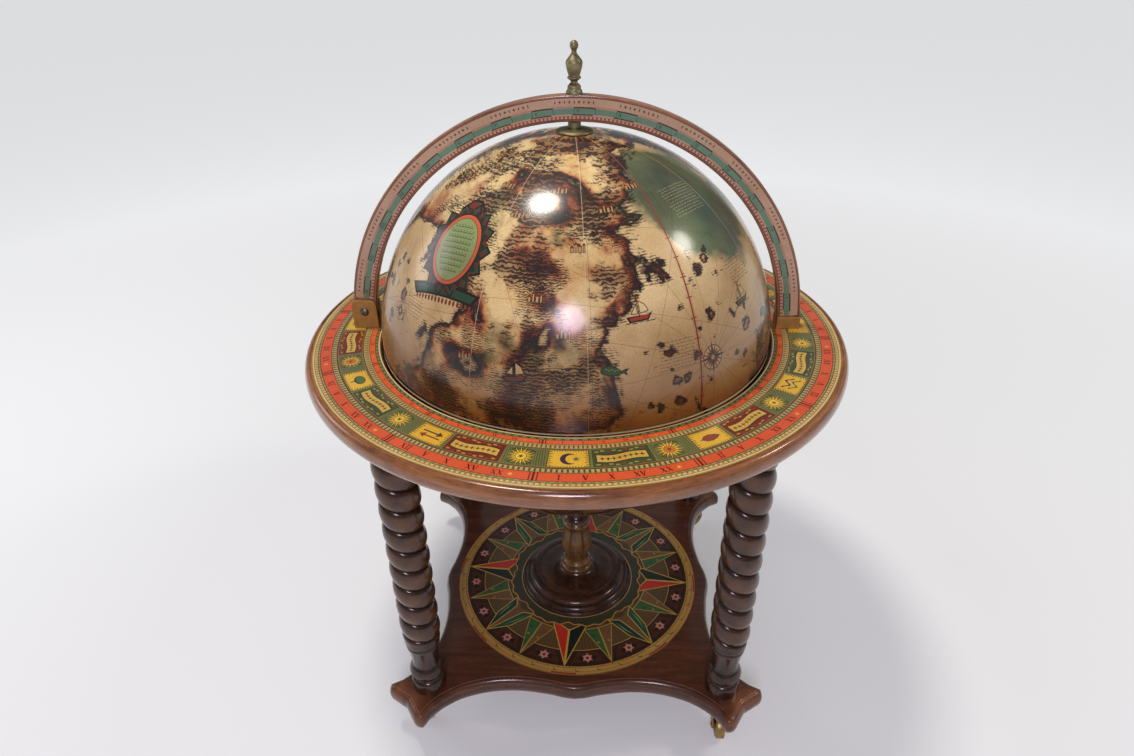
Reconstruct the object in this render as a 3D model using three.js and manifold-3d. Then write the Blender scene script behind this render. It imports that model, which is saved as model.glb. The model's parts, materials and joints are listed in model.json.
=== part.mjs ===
// A floor-standing globe bar in millimetres, +Z up, standing on the floor plane with its axis at the origin.
// The front is -Y. The lid is hinged on the left (-X) and rests in a catch on the right (+X).
import * as THREE from "three";
import { mergeVertices } from "three/addons/utils/BufferGeometryUtils.js";
import Module from "manifold-3d";

const wasm = await Module();
wasm.setup();

// Heights, from the floor up
const casterHeight = 56;
const shelfThickness = 26;
const legLength = 439;
const ringThickness = 22;
const shelfTop = casterHeight + shelfThickness;
const ringUnderside = shelfTop + legLength;
const ringTop = ringUnderside + ringThickness;

// Globe shells, split at the level of the ring's top
const globeRadius = 248;
const shellWall = 5;
const splitGap = 1;

// Clearances
const restGap = 0.3;
const threadFit = 0.1;
const slideFit = 0.4;
const runningFit = 0.5;

// Table ring and its printed sheet
const ringGlobeGap = 3;
const ringWidth = 93;
const ringInnerRadius = globeRadius + ringGlobeGap;
const ringOuterRadius = ringInnerRadius + ringWidth;
const printBorder = 10;
const printInset = 1.5;
const sheetThickness = 0.8;
const ringGrooveWidth = 2.4;
const ringGrooveDepth = 1.8;
const ringEdgeRadius = 7;

// Support ring under the table ring, which carries the lower half of the globe
const supportHeight = 12;
const supportLip = 13;
const supportOuterRadius = globeRadius + supportLip;
const supportChamfer = 4;

// Half arch over the globe
const archGap = 12;
const archInnerRadius = globeRadius + archGap;
const archWidth = 29;
const archDepth = 14.4;
const archPrintThickness = 0.4;
const archPrintMargin = 2.5;
const archMidRadius = archInnerRadius + archWidth / 2;
const archOuterRadius = archInnerRadius + archWidth;
const pivotHeight = 23;
const catchEndHeight = 4;

// Hinge and catch brackets
const bracketPlate = 3;
const hingeBracketWidth = 32;
const hingeBracketHeight = 39;
const hingeBracketCorner = 8;
const catchBracketWidth = 29.6;
const catchBracketHeight = 16;
const catchBracketCorner = 2;
const bracketInnerHalf = archDepth / 2 + archPrintThickness + runningFit;
const bracketOuterHalf = bracketInnerHalf + bracketPlate;
const bracketScrewSpacing = 18;
const screwShankRadius = 1.9;
const screwHeadRadius = 3.8;
const screwHeadHeight = 2;
const screwLength = 15;
const screwTipLength = 3;

// Hinge bolt and its nut
const hingeBoltRadius = 3;
const hingeHeadRadius = 5.7;
const hingeHeadHeight = 2.8;
const hingeSlotWidth = 1.3;
const hingeSlotDepth = 1.2;
const hingeNutRadius = 5.6;
const hingeNutHeight = 5;

// Pole: spindle, cap, washer, nut and finial
const spindleRadius = 4;
const capRadius = 21.8;
const capEdge = 2;
const capBossRadius = 7.5;
const washerRadius = 20;
const washerThickness = 3.5;
const spindleNutRadius = 8;
const spindleNutHeight = 8;
const spindleTail = 4;
const finialRadius = 9.4;
const finialHeight = 55.4;
const finialBoreDepth = 7.6;

// Legs, one under each corner of the ring, just outside the support ring
const footRadius = 23.5;
const footHeight = 101;
const ridgeRadius = 26;
const seamRadius = 19.5;
const ropePitch = 32;
const ropeFade = 9;
const collarRadius = 24;
const legSupportGap = 2.9;
const legOffset = (supportOuterRadius + legSupportGap + ridgeRadius) * Math.SQRT1_2;
const dowelRadius = 6;
const dowelHalf = 14;

// Shelf and its printed disc
const shelfOverhang = 57;
const shelfReach = legOffset + shelfOverhang;
const shelfStepInset = 8.5;
const shelfStepHeight = 2;
const compassBorder = 70.4;
const compassRadius = shelfReach - compassBorder;

// Pedestal from the disc up to the bottom of the globe
const pedestalBaseRadius = 86.7;
const pedestalBaseHeight = 27;
const balusterRadius = 24;
const balusterShare = 0.5346;
const seatRadius = 60;
const pedestalFoot = shelfTop + sheetThickness;
const balusterFoot = pedestalFoot + pedestalBaseHeight;
const balusterHeight = (ringTop - globeRadius - balusterFoot) * balusterShare;
const seatFoot = balusterFoot + balusterHeight;
const tieRodRadius = 5;
const tieHeadRadius = 10;
const tieHeadHeight = 6;
const tieHeadRecess = 8;

// Bar insert in the lower half, with its depths and holes as shares of the globe that it fills
const rackDepth = globeRadius * 0.242;
const rackThickness = 12;
const floorDepth = globeRadius * 0.766;
const floorThickness = 8;
const bottleHoleRadius = globeRadius * 0.1855;
const bottleHoleDistance = globeRadius * 0.403;
const bottleHoles = 4;
const glassWellRadius = globeRadius * 0.121;
const glassWellDistance = globeRadius * 0.758;
const glassWellDepth = 5;
const glassWells = 8;
const postRadius = 12;
const knobRadius = 14;
const knobHeight = 24;
const knobBoreDepth = 14;

// Casters, with the turn of each about its stem at rest
const casterPlateRadius = 19;
const casterPlateThickness = 4;
const casterNeckRadius = 5;
const casterFlangeRadius = 7;
const casterFlangeThickness = 2.6;
const casterFlangeLevel = 43;
const casterStemRadius = 4;
const casterStemGrip = 38;
const casterTrail = 16;
const wheelRadius = 19;
const wheelWidth = 14;
const wheelHubRadius = 7;
const wheelShoulder = 1.2;
const forkPlate = 2.5;
const forkCrownRadius = 11;
const forkCrownThickness = 5;
const forkBossRadius = 6;
const axleRadius = 2.5;
const axleHeadRadius = 4;
const axleHeadThickness = 1.5;
const casters = [
  { corner: "front_left", x: -1, y: -1, turn: Math.PI },
  { corner: "front_right", x: 1, y: -1, turn: -Math.PI / 2 },
  { corner: "back_right", x: 1, y: 1, turn: Math.PI / 6 },
  { corner: "back_left", x: -1, y: 1, turn: (Math.PI * 3) / 4 },
];

// Numbers of flat sides and rows that stand in for round surfaces
const globeSides = 40;
const turnedSides = 18;
const smallSides = 10;
const hexSides = 6;
const crownSides = 12;
const wellSides = 12;
const shellRows = 9;
const archSteps = 32;
const endSteps = 5;
const ropeSides = 8;
const ropeRowsPerTurn = 4;
const wheelSides = 16;
const seatSteps = 4;
const noseSteps = 7;

// Lengths by which a cutting tool passes a face, and within which two vertices are one
const overrun = 2;
const weldDistance = 0.001;

const finishes = {
  ringWood: { color: 0x6e3f28, roughness: 0.3, metalness: 0 },
  darkWood: { color: 0x3a221a, roughness: 0.3, metalness: 0 },
  paleWood: { color: 0x6b4a2a, roughness: 0.4, metalness: 0 },
  print: { color: 0xb5834a, roughness: 0.3, metalness: 0 },
  mapShell: { color: 0xb08a55, roughness: 0.2, metalness: 0 },
  agedBrass: { color: 0x7d7050, roughness: 0.4, metalness: 1 },
  brass: { color: 0x9a7b3e, roughness: 0.35, metalness: 1 },
  steel: { color: 0x8a8a88, roughness: 0.4, metalness: 1 },
};

// A named mesh of its own finish in a group
function addPiece(group, name, geometry, finish) {
  const mesh = new THREE.Mesh(geometry, new THREE.MeshStandardMaterial(finish));
  mesh.name = name;
  group.add(mesh);
  return mesh;
}

// Points along an arc about (x, y), from one angle to another, both ends included
function arcPoints(x, y, radius, from, to, steps) {
  return Array.from({ length: steps + 1 }, (_, step) => {
    const angle = from + ((to - from) * step) / steps;
    return new THREE.Vector2(x + radius * Math.cos(angle), y + radius * Math.sin(angle));
  });
}

// A solid of revolution about Z from points (radius, height). A profile off the axis closes on itself.
function turned(points, sides = turnedSides) {
  const profile = THREE.ShapeUtils.area(points) > 0 ? [...points] : [...points].reverse();
  if (profile[0].x > 0 || profile.at(-1).x > 0) profile.push(profile[0].clone());
  return new THREE.LatheGeometry(profile, sides).rotateX(Math.PI / 2);
}

// Pairs of shares turned into points of a real radius and height
function pointsFromShares(shares, radius, height, base = 0) {
  return shares.map(([across, up]) => new THREE.Vector2(across * radius, base + up * height));
}

// Radius of a hole with flat sides that clears a round pin by a fit
const clear = (radius, fit, sides = smallSides) => (radius + fit) / Math.cos(Math.PI / sides);

// A round bar standing on the height `base`
function bar(radius, length, base = 0, sides = smallSides) {
  return new THREE.CylinderGeometry(radius, radius, length, sides)
    .rotateX(Math.PI / 2)
    .translate(0, 0, base + length / 2);
}

// An outline in x and z pulled along y, centred on y = 0
function plateAcross(outline, depth, holes = []) {
  const shape = new THREE.Shape(outline);
  shape.holes = holes.map((hole) => new THREE.Path(hole));
  return new THREE.ExtrudeGeometry(shape, { depth, bevelEnabled: false })
    .rotateX(Math.PI / 2)
    .translate(0, depth / 2, 0);
}

function toSolid(geometry) {
  const bare = geometry.clone();
  bare.deleteAttribute("normal");
  bare.deleteAttribute("uv");
  const merged = mergeVertices(bare, weldDistance);
  return new wasm.Manifold(
    new wasm.Mesh({
      numProp: 3,
      vertProperties: new Float32Array(merged.attributes.position.array),
      triVerts: new Uint32Array(merged.index.array),
    }),
  );
}

function toGeometry(solid) {
  const mesh = solid.getMesh();
  const geometry = new THREE.BufferGeometry();
  geometry.setAttribute("position", new THREE.BufferAttribute(mesh.vertProperties, 3));
  geometry.setIndex(new THREE.BufferAttribute(mesh.triVerts, 1));
  geometry.computeVertexNormals();
  return geometry;
}

const carved = (geometry, tools) =>
  toGeometry(tools.reduce((solid, tool) => solid.subtract(toSolid(tool)), toSolid(geometry)));

const joined = (geometries) =>
  toGeometry(geometries.slice(1).reduce((solid, part) => solid.add(toSolid(part)), toSolid(geometries[0])));

// Half the width of a sphere at a height above or below its centre
const sphereReach = (radius, height) => Math.sqrt(radius ** 2 - height ** 2);

const globeBar = new THREE.Group();
const base = new THREE.Group();
const lid = new THREE.Group();
globeBar.add(base, lid);

// Where the arch meets its two brackets, measured from the middle of the globe
const pivotX = -sphereReach(archMidRadius, pivotHeight);
const catchX = archMidRadius;
const bracketScrewPlaces = [pivotX, catchX].flatMap((x) => [
  x - bracketScrewSpacing / 2,
  x + bracketScrewSpacing / 2,
]);
const legPlaces = casters.map(({ corner, x, y }) => ({ corner, x: x * legOffset, y: y * legOffset }));

// Table ring: flat top, a groove round the print and a bullnose edge
function tableRing() {
  const printOuter = ringOuterRadius - printBorder;
  const bed = -sheetThickness;
  const half = ringThickness / 2;
  const noseX = ringOuterRadius - ringEdgeRadius;
  const nose = arcPoints(0, 0, 1, Math.PI / 2, -Math.PI / 2, noseSteps).map(
    ({ x, y }) => new THREE.Vector2(noseX + ringEdgeRadius * x, half * y - half),
  );
  const points = [
    new THREE.Vector2(ringInnerRadius, -ringThickness),
    new THREE.Vector2(ringInnerRadius, bed),
    new THREE.Vector2(printOuter, bed),
    new THREE.Vector2(printOuter + ringGrooveWidth / 2, bed - ringGrooveDepth),
    new THREE.Vector2(noseX, bed),
    ...nose,
  ];
  const dowelHoles = legPlaces.map(({ x, y }) =>
    bar(clear(dowelRadius, threadFit), dowelHalf + overrun, -ringThickness - overrun).translate(x, y, 0),
  );
  const screwHoles = bracketScrewPlaces.map((x) =>
    bar(clear(screwShankRadius, threadFit), screwLength + overrun, -screwLength).translate(x, 0, 0),
  );
  return carved(turned(points, globeSides), [...dowelHoles, ...screwHoles]);
}

function ringSheet() {
  const inner = ringInnerRadius + printInset;
  const outer = ringOuterRadius - printBorder;
  const points = [
    new THREE.Vector2(inner, -sheetThickness),
    new THREE.Vector2(outer, -sheetThickness),
    new THREE.Vector2(outer, 0),
    new THREE.Vector2(inner, 0),
  ];
  const bore = clear(screwShankRadius, threadFit);
  const screwHole = bar(bore, sheetThickness + overrun * 2, -sheetThickness - overrun);
  const screwHoles = bracketScrewPlaces.map((x) => screwHole.clone().translate(x, 0, 0));
  return carved(turned(points, globeSides), screwHoles);
}

function supportRing() {
  const top = -ringThickness;
  const bottom = top - supportHeight;
  return turned(
    [
      new THREE.Vector2(sphereReach(globeRadius, top) + restGap, top),
      new THREE.Vector2(sphereReach(globeRadius, bottom) + restGap, bottom),
      new THREE.Vector2(supportOuterRadius - supportChamfer, bottom),
      new THREE.Vector2(supportOuterRadius, bottom + supportChamfer),
      new THREE.Vector2(supportOuterRadius, top),
    ],
    globeSides,
  );
}

// Half a hollow globe with a hole of radius `bore` at its pole, rim at the split, pole up (1) or down (-1)
function globeHalf(bore, side) {
  const inner = globeRadius - shellWall;
  const rim = splitGap / 2;
  const outerArc = arcPoints(
    0,
    0,
    globeRadius,
    Math.asin(rim / globeRadius),
    Math.acos(bore / globeRadius),
    shellRows,
  );
  const innerArc = arcPoints(0, 0, inner, Math.acos(bore / inner), Math.asin(rim / inner), shellRows);
  const points = [...outerArc, ...innerArc].map(({ x, y }) => new THREE.Vector2(x, y * side));
  return turned(points, globeSides);
}

const ringLevel = new THREE.Group();
ringLevel.position.z = ringTop;
base.add(ringLevel);
addPiece(ringLevel, "table_ring", tableRing(), finishes.ringWood);
addPiece(ringLevel, "ring_print", ringSheet(), finishes.print);
addPiece(ringLevel, "bowl_support_ring", supportRing(), finishes.darkWood);
addPiece(ringLevel, "lower_bowl", globeHalf(clear(tieRodRadius, slideFit), -1), finishes.mapShell);

// Bar insert: rack, floor, post and knob on the tie rod
// The shells' flat rows stand inside their true spheres, so what they hold fits the sphere that touches the
// middles of the rows.
const insertSphere = (globeRadius - shellWall) * Math.cos(Math.PI / 4 / shellRows);
const rackBottomRadius = sphereReach(insertSphere, rackDepth + rackThickness) - restGap;
const floorBottomRadius = sphereReach(insertSphere, floorDepth + floorThickness) - restGap;

function bottleRack() {
  const places = (count, distance, offset) =>
    Array.from({ length: count }, (_, index) => {
      const angle = ((index + offset) * Math.PI * 2) / count;
      return [distance * Math.cos(angle), distance * Math.sin(angle)];
    });
  const holes = places(bottleHoles, bottleHoleDistance, 1 / 2).map(([x, y]) =>
    bar(bottleHoleRadius, rackThickness + overrun * 2, -overrun, turnedSides).translate(x, y, 0),
  );
  const wellFloor = rackThickness - glassWellDepth;
  const wells = places(glassWells, glassWellDistance, 1 / 2).map(([x, y]) =>
    bar(glassWellRadius, glassWellDepth + overrun, wellFloor, wellSides).translate(x, y, 0),
  );
  const bore = bar(clear(tieRodRadius, slideFit), rackThickness + overrun * 2, -overrun);
  return carved(bar(rackBottomRadius, rackThickness, 0, globeSides), [...holes, ...wells, bore]);
}

function collarRing(innerRadius, outerRadius, height, sides) {
  return turned(
    [
      new THREE.Vector2(innerRadius, 0),
      new THREE.Vector2(outerRadius, 0),
      new THREE.Vector2(outerRadius, height),
      new THREE.Vector2(innerRadius, height),
    ],
    sides,
  );
}

function rackKnob() {
  const shares = [
    [0, 1], [0.45, 0.98], [0.86, 0.82], [1, 0.6], [0.86, 0.38], [0.6, 0.24], [0.75, 0.1], [0.75, 0],
  ];
  const bore = clear(tieRodRadius, threadFit);
  const outside = pointsFromShares(shares, knobRadius, knobHeight);
  return turned(
    [
      ...outside,
      new THREE.Vector2(bore, 0),
      new THREE.Vector2(bore, knobBoreDepth),
      new THREE.Vector2(0, knobBoreDepth),
    ],
    smallSides,
  );
}

const rackUnderside = -rackDepth - rackThickness;
const postLength = floorDepth - rackDepth - rackThickness;
addPiece(ringLevel, "bottle_rack", bottleRack(), finishes.paleWood).position.z = rackUnderside;
addPiece(
  ringLevel,
  "rack_floor",
  collarRing(clear(tieRodRadius, slideFit), floorBottomRadius, floorThickness, globeSides),
  finishes.paleWood,
).position.z = -floorDepth - floorThickness;
addPiece(
  ringLevel,
  "rack_post",
  collarRing(clear(tieRodRadius, slideFit), postRadius, postLength, smallSides),
  finishes.darkWood,
).position.z = -floorDepth;
addPiece(ringLevel, "rack_knob", rackKnob(), finishes.brass).position.z = -rackDepth;

// Brackets: two cheeks on a base plate that is screwed down to the ring
function bracket(width, height, corner, cheekHoles) {
  const half = width / 2;
  const outline = [
    new THREE.Vector2(-half, 0),
    new THREE.Vector2(half, 0),
    ...arcPoints(half - corner, height - corner, corner, 0, Math.PI / 2, endSteps),
    ...arcPoints(corner - half, height - corner, corner, Math.PI / 2, Math.PI, endSteps),
  ];
  const cheekPlace = bracketOuterHalf - bracketPlate / 2;
  const cheeks = [-cheekPlace, cheekPlace].map((y) =>
    plateAcross(outline, bracketPlate, cheekHoles).translate(0, y, 0),
  );
  const plate = new THREE.BoxGeometry(width, bracketOuterHalf * 2, bracketPlate);
  const body = joined([plate.translate(0, 0, bracketPlate / 2), ...cheeks]);
  const seatDepth = bracketPlate - screwHeadHeight;
  const sinks = [-1, 1].map((side) =>
    turned([
      new THREE.Vector2(0, -overrun),
      new THREE.Vector2(clear(screwShankRadius, threadFit), -overrun),
      new THREE.Vector2(clear(screwShankRadius, threadFit), seatDepth),
      new THREE.Vector2(clear(screwHeadRadius, threadFit), bracketPlate),
      new THREE.Vector2(clear(screwHeadRadius, threadFit), bracketPlate + overrun),
      new THREE.Vector2(0, bracketPlate + overrun),
    ], smallSides).translate((side * bracketScrewSpacing) / 2, 0, 0),
  );
  return carved(body, sinks);
}

// A countersunk screw, its head's flat top at z = 0
function woodScrew() {
  const tipStart = -screwLength - bracketPlate + screwTipLength + overrun;
  return turned(
    [
      new THREE.Vector2(0, 0),
      new THREE.Vector2(screwHeadRadius, 0),
      new THREE.Vector2(screwShankRadius, -screwHeadHeight),
      new THREE.Vector2(screwShankRadius, tipStart),
      new THREE.Vector2(0, tipStart - screwTipLength),
    ],
    smallSides,
  );
}

const boltBore = clear(hingeBoltRadius, threadFit);
const pivotHole = arcPoints(0, pivotHeight, boltBore, 0, Math.PI * 2, smallSides).slice(1);
addPiece(
  ringLevel,
  "hinge_bracket",
  bracket(hingeBracketWidth, hingeBracketHeight, hingeBracketCorner, [pivotHole]),
  finishes.brass,
).position.x = pivotX;
addPiece(
  ringLevel,
  "catch_bracket",
  bracket(catchBracketWidth, catchBracketHeight, catchBracketCorner, []),
  finishes.brass,
).position.x = catchX;
bracketScrewPlaces.forEach((x, index) => {
  const name = `${index < 2 ? "hinge" : "catch"}_bracket_screw_${(index % 2) + 1}`;
  addPiece(ringLevel, name, woodScrew(), finishes.brass).position.set(x, 0, bracketPlate);
});

// Hinge bolt: a slotted domed head in front, a domed nut behind
function hingeBolt() {
  const end = bracketOuterHalf * 2 + hingeNutHeight / 2;
  const shares = [[0, 1], [0.5, 0.88], [0.86, 0.5], [1, 0]];
  const body = turned(
    [
      ...pointsFromShares(shares, hingeHeadRadius, hingeHeadHeight),
      new THREE.Vector2(hingeBoltRadius, 0),
      new THREE.Vector2(hingeBoltRadius, -end),
      new THREE.Vector2(0, -end),
    ],
    smallSides,
  );
  const slot = new THREE.BoxGeometry(hingeSlotWidth, hingeHeadRadius * 2 + overrun, hingeSlotDepth * 2);
  return carved(body, [slot.translate(0, 0, hingeHeadHeight)]);
}

function hingeNut() {
  const bore = clear(hingeBoltRadius, threadFit, hexSides);
  const domeShares = [[0, 1], [0.6, 0.88], [1, 0.55]];
  return turned(
    [
      ...pointsFromShares(domeShares, hingeNutRadius, hingeNutHeight),
      new THREE.Vector2(hingeNutRadius, 0),
      new THREE.Vector2(bore, 0),
      new THREE.Vector2(bore, hingeNutHeight / 2 + restGap),
      new THREE.Vector2(0, hingeNutHeight / 2 + restGap),
    ],
    hexSides,
  );
}

const bolt = addPiece(ringLevel, "hinge_bolt", hingeBolt(), finishes.steel);
bolt.position.set(pivotX, -bracketOuterHalf, pivotHeight);
bolt.rotation.x = Math.PI / 2;
const nut = addPiece(ringLevel, "hinge_nut", hingeNut(), finishes.steel);
nut.position.set(pivotX, bracketOuterHalf, pivotHeight);
nut.rotation.x = -Math.PI / 2;

// Half arch: round end about the pivot, square end in the catch
const pivotAngle = Math.asin(pivotHeight / archMidRadius);
const catchAngle = Math.asin(catchEndHeight / archMidRadius);

function archCore() {
  const endFrom = Math.PI - pivotAngle;
  const outline = [
    ...arcPoints(0, 0, archOuterRadius, catchAngle, endFrom, archSteps),
    ...arcPoints(pivotX, pivotHeight, archWidth / 2, endFrom, endFrom + Math.PI, endSteps).slice(1, -1),
    ...arcPoints(0, 0, archInnerRadius, endFrom, catchAngle, archSteps),
  ];
  const bore = clear(hingeBoltRadius, slideFit);
  const hole = arcPoints(pivotX, pivotHeight, bore, 0, Math.PI * 2, smallSides).slice(1);
  const spindleBore = clear(spindleRadius, threadFit);
  const spindleHole = bar(spindleBore, archWidth + overrun * 2, archInnerRadius - overrun);
  return carved(plateAcross(outline, archDepth, [hole]), [spindleHole]);
}

function archSheet() {
  const inner = archInnerRadius + archPrintMargin;
  const outer = archOuterRadius - archPrintMargin;
  const from = Math.asin((catchBracketHeight + runningFit) / inner);
  const to = Math.PI - Math.asin((hingeBracketHeight + runningFit) / inner);
  const outside = arcPoints(0, 0, outer, from, to, archSteps);
  const inside = arcPoints(0, 0, inner, to, from, archSteps);
  return plateAcross([...outside, ...inside], archPrintThickness);
}

lid.position.z = ringTop;
addPiece(lid, "arch_core", archCore(), finishes.ringWood);
const archSheetPlace = archDepth / 2 + archPrintThickness / 2;
addPiece(lid, "arch_print_front", archSheet(), finishes.print).position.y = -archSheetPlace;
addPiece(lid, "arch_print_back", archSheet(), finishes.print).position.y = archSheetPlace;

// Pole: the spindle is fixed in the arch, and the upper half turns on it between the cap and the washer
const poleBore = clear(spindleRadius, slideFit);
const washerUnderside = sphereReach(insertSphere, washerRadius) - restGap - washerThickness;

function poleCap() {
  const edge = sphereReach(globeRadius, capRadius) + restGap;
  const bossTop = archInnerRadius - runningFit;
  const shoulder = globeRadius + restGap + capEdge * 2;
  return turned([
    new THREE.Vector2(poleBore, globeRadius + restGap),
    new THREE.Vector2(capRadius, edge),
    new THREE.Vector2(capRadius, edge + capEdge),
    new THREE.Vector2((capRadius + capBossRadius) / 2, shoulder),
    new THREE.Vector2(capBossRadius, shoulder + capEdge / 2),
    new THREE.Vector2(capBossRadius, bossTop),
    new THREE.Vector2(poleBore, bossTop),
  ]);
}

function finial() {
  const stemShares = [
    [0.985, 0], [0.985, 0.055], [0.83, 0.085], [0.79, 0.115], [0.81, 0.145], [0.69, 0.172], [0.415, 0.215],
    [0.415, 0.25], [0.64, 0.275], [0.82, 0.297], [0.82, 0.32], [0.67, 0.338], [0.68, 0.36], [0.87, 0.45],
    [1, 0.56], [1, 0.605], [0.85, 0.65], [0.53, 0.715], [0.32, 0.76], [0.29, 0.8], [0.35, 0.83],
  ];
  const ballShares = [[0.49, 0.868], [0.52, 0.912], [0.43, 0.958], [0.22, 0.99], [0, 1]];
  const bore = clear(spindleRadius, threadFit);
  return turned([
    new THREE.Vector2(0, finialBoreDepth),
    new THREE.Vector2(bore, finialBoreDepth),
    new THREE.Vector2(bore, 0),
    ...pointsFromShares([...stemShares, ...ballShares], finialRadius, finialHeight),
  ], smallSides);
}

const nutTop = washerUnderside - restGap;
const spindleBottom = nutTop - spindleNutHeight - spindleTail;
const spindleTop = archOuterRadius + finialBoreDepth - restGap;
addPiece(lid, "upper_dome", globeHalf(poleBore, 1), finishes.mapShell);
addPiece(lid, "pole_cap", poleCap(), finishes.agedBrass);
addPiece(
  lid,
  "dome_washer",
  collarRing(poleBore, washerRadius, washerThickness, turnedSides),
  finishes.brass,
).position.z = washerUnderside;
addPiece(lid, "spindle", bar(spindleRadius, spindleTop - spindleBottom, spindleBottom), finishes.steel);
addPiece(
  lid,
  "spindle_nut",
  collarRing(clear(spindleRadius, threadFit), spindleNutRadius, spindleNutHeight, hexSides * 2),
  finishes.steel,
).position.z = nutTop - spindleNutHeight;
addPiece(lid, "finial", finial(), finishes.agedBrass).position.z = archOuterRadius;

// Legs: a turned foot below a single left-handed rope, whose ridges fall to the right as seen from outside
const footShares = [
  [0.98, 0], [0.98, 0.16], [0.9, 0.195], [0.8, 0.215], [0.82, 0.245], [1, 0.31], [1, 0.38], [0.86, 0.45],
  [0.76, 0.475], [0.76, 0.53], [0.8, 0.66], [0.9, 0.79], [0.98, 0.86], [0.9, 0.88], [1.02, 0.92],
  [1.02, 0.97],
];

// Radius of the rope at a height above its foot: round ridges that meet in narrow seams
function ropeRadius(height, angle, length) {
  const turns = height / ropePitch + angle / (Math.PI * 2);
  const phase = turns - Math.floor(turns);
  const ridge = seamRadius + (ridgeRadius - seamRadius) * Math.sqrt(1 - (2 * phase - 1) ** 2);
  const fade = Math.min(1, height / ropeFade, (length - height) / ropeFade);
  return collarRadius + (ridge - collarRadius) * fade;
}

function ropeLeg() {
  const ropeLength = legLength - footHeight;
  const ropeRows = Math.round((ropeLength / ropePitch) * ropeRowsPerTurn);
  const rows = footShares.map(([across, up]) => ({ z: up * footHeight, radius: () => across * footRadius }));
  for (let row = 0; row <= ropeRows; row += 1) {
    const height = (ropeLength * row) / ropeRows;
    rows.push({ z: footHeight + height, radius: (angle) => ropeRadius(height, angle, ropeLength) });
  }
  const positions = rows.flatMap(({ z, radius }) =>
    Array.from({ length: ropeSides }, (_, side) => {
      const angle = (side * Math.PI * 2) / ropeSides;
      return [radius(angle) * Math.cos(angle), radius(angle) * Math.sin(angle), z];
    }).flat(),
  );
  positions.push(0, 0, rows[0].z, 0, 0, rows.at(-1).z);
  const bottomCentre = rows.length * ropeSides;
  const topStart = (rows.length - 1) * ropeSides;
  const index = [];
  for (let side = 0; side < ropeSides; side += 1) {
    const next = (side + 1) % ropeSides;
    index.push(bottomCentre, next, side, bottomCentre + 1, topStart + side, topStart + next);
    for (let row = 0; row < rows.length - 1; row += 1) {
      const low = row * ropeSides;
      const high = low + ropeSides;
      index.push(low + side, low + next, high + next, low + side, high + next, high + side);
    }
  }
  const geometry = new THREE.BufferGeometry();
  geometry.setAttribute("position", new THREE.Float32BufferAttribute(positions, 3));
  geometry.setIndex(index);
  return carved(geometry, [
    bar(clear(casterStemRadius, threadFit), casterStemGrip + overrun * 2, -overrun),
    bar(clear(dowelRadius, threadFit), dowelHalf + overrun, legLength - dowelHalf),
  ]);
}

legPlaces.forEach(({ corner, x, y }) => {
  addPiece(base, `leg_${corner}`, ropeLeg(), finishes.darkWood).position.set(x, y, shelfTop);
  const dowel = bar(dowelRadius, (dowelHalf - restGap) * 2, ringUnderside - dowelHalf + restGap);
  addPiece(base, `leg_dowel_${corner}`, dowel, finishes.paleWood).position.set(x, y, 0);
});

// Shelf outline: each side waves in from two ears to a rounded point at its middle. One half side is given
// as shares of the reach, along the side and out from the centre, from the point to the ear.
const shelfSideShares = [
  [0, 0.818], [0.06, 0.811], [0.15, 0.79], [0.3, 0.772],
  [0.45, 0.781], [0.59, 0.82], [0.69, 0.88], [0.75, 0.94],
];
const earCentreShares = [0.798, 0.952];
const earRadiusShare = 0.048;
const earSteps = 3;
const cornerDipShare = 0.893;
const halfSidePoints = 7;

function shelfOutline() {
  const [along, out] = earCentreShares.map((share) => share * shelfReach);
  const side = new THREE.SplineCurve(
    shelfSideShares.map(([share, reach]) => new THREE.Vector2(reach * shelfReach, share * shelfReach)),
  ).getPoints(halfSidePoints);
  const ear = arcPoints(out, along, earRadiusShare * shelfReach, -Math.PI / 8, Math.PI / 4, earSteps);
  const dip = new THREE.Vector2(cornerDipShare * shelfReach, cornerDipShare * shelfReach);
  const halfSide = [...side, ...ear];
  const mirrored = halfSide.slice(1).reverse().map(({ x, y }) => new THREE.Vector2(y, x));
  const quarter = [...halfSide, dip, ...mirrored];
  return [0, 1, 2, 3].flatMap((turn) =>
    quarter.map((point) => point.clone().rotateAround(new THREE.Vector2(), (turn * Math.PI) / 2)),
  );
}

// A slab whose edge follows a list of [inset, height] levels from the bottom face to the top face
function mouldedSlab(outline, levels) {
  const count = outline.length;
  const normals = outline.map((_, place) => {
    const along = outline[(place + 1) % count].clone().sub(outline[(place + count - 1) % count]).normalize();
    return new THREE.Vector2(along.y, -along.x);
  });
  const positions = levels.flatMap(([inset, height]) =>
    outline.flatMap(({ x, y }, place) => {
      const { x: outX, y: outY } = normals[place];
      return [x - outX * inset, y - outY * inset, height];
    }),
  );
  const topStart = (levels.length - 1) * count;
  const index = THREE.ShapeUtils.triangulateShape(outline, []).flatMap(([a, b, c]) => [
    ...[c, b, a],
    ...[topStart + a, topStart + b, topStart + c],
  ]);
  for (let level = 0; level < levels.length - 1; level += 1)
    for (let place = 0; place < count; place += 1) {
      const next = (place + 1) % count;
      const low = level * count;
      const high = low + count;
      index.push(low + place, low + next, high + next, low + place, high + next, high + place);
    }
  const geometry = new THREE.BufferGeometry();
  geometry.setAttribute("position", new THREE.Float32BufferAttribute(positions, 3));
  geometry.setIndex(index);
  return geometry;
}

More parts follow.
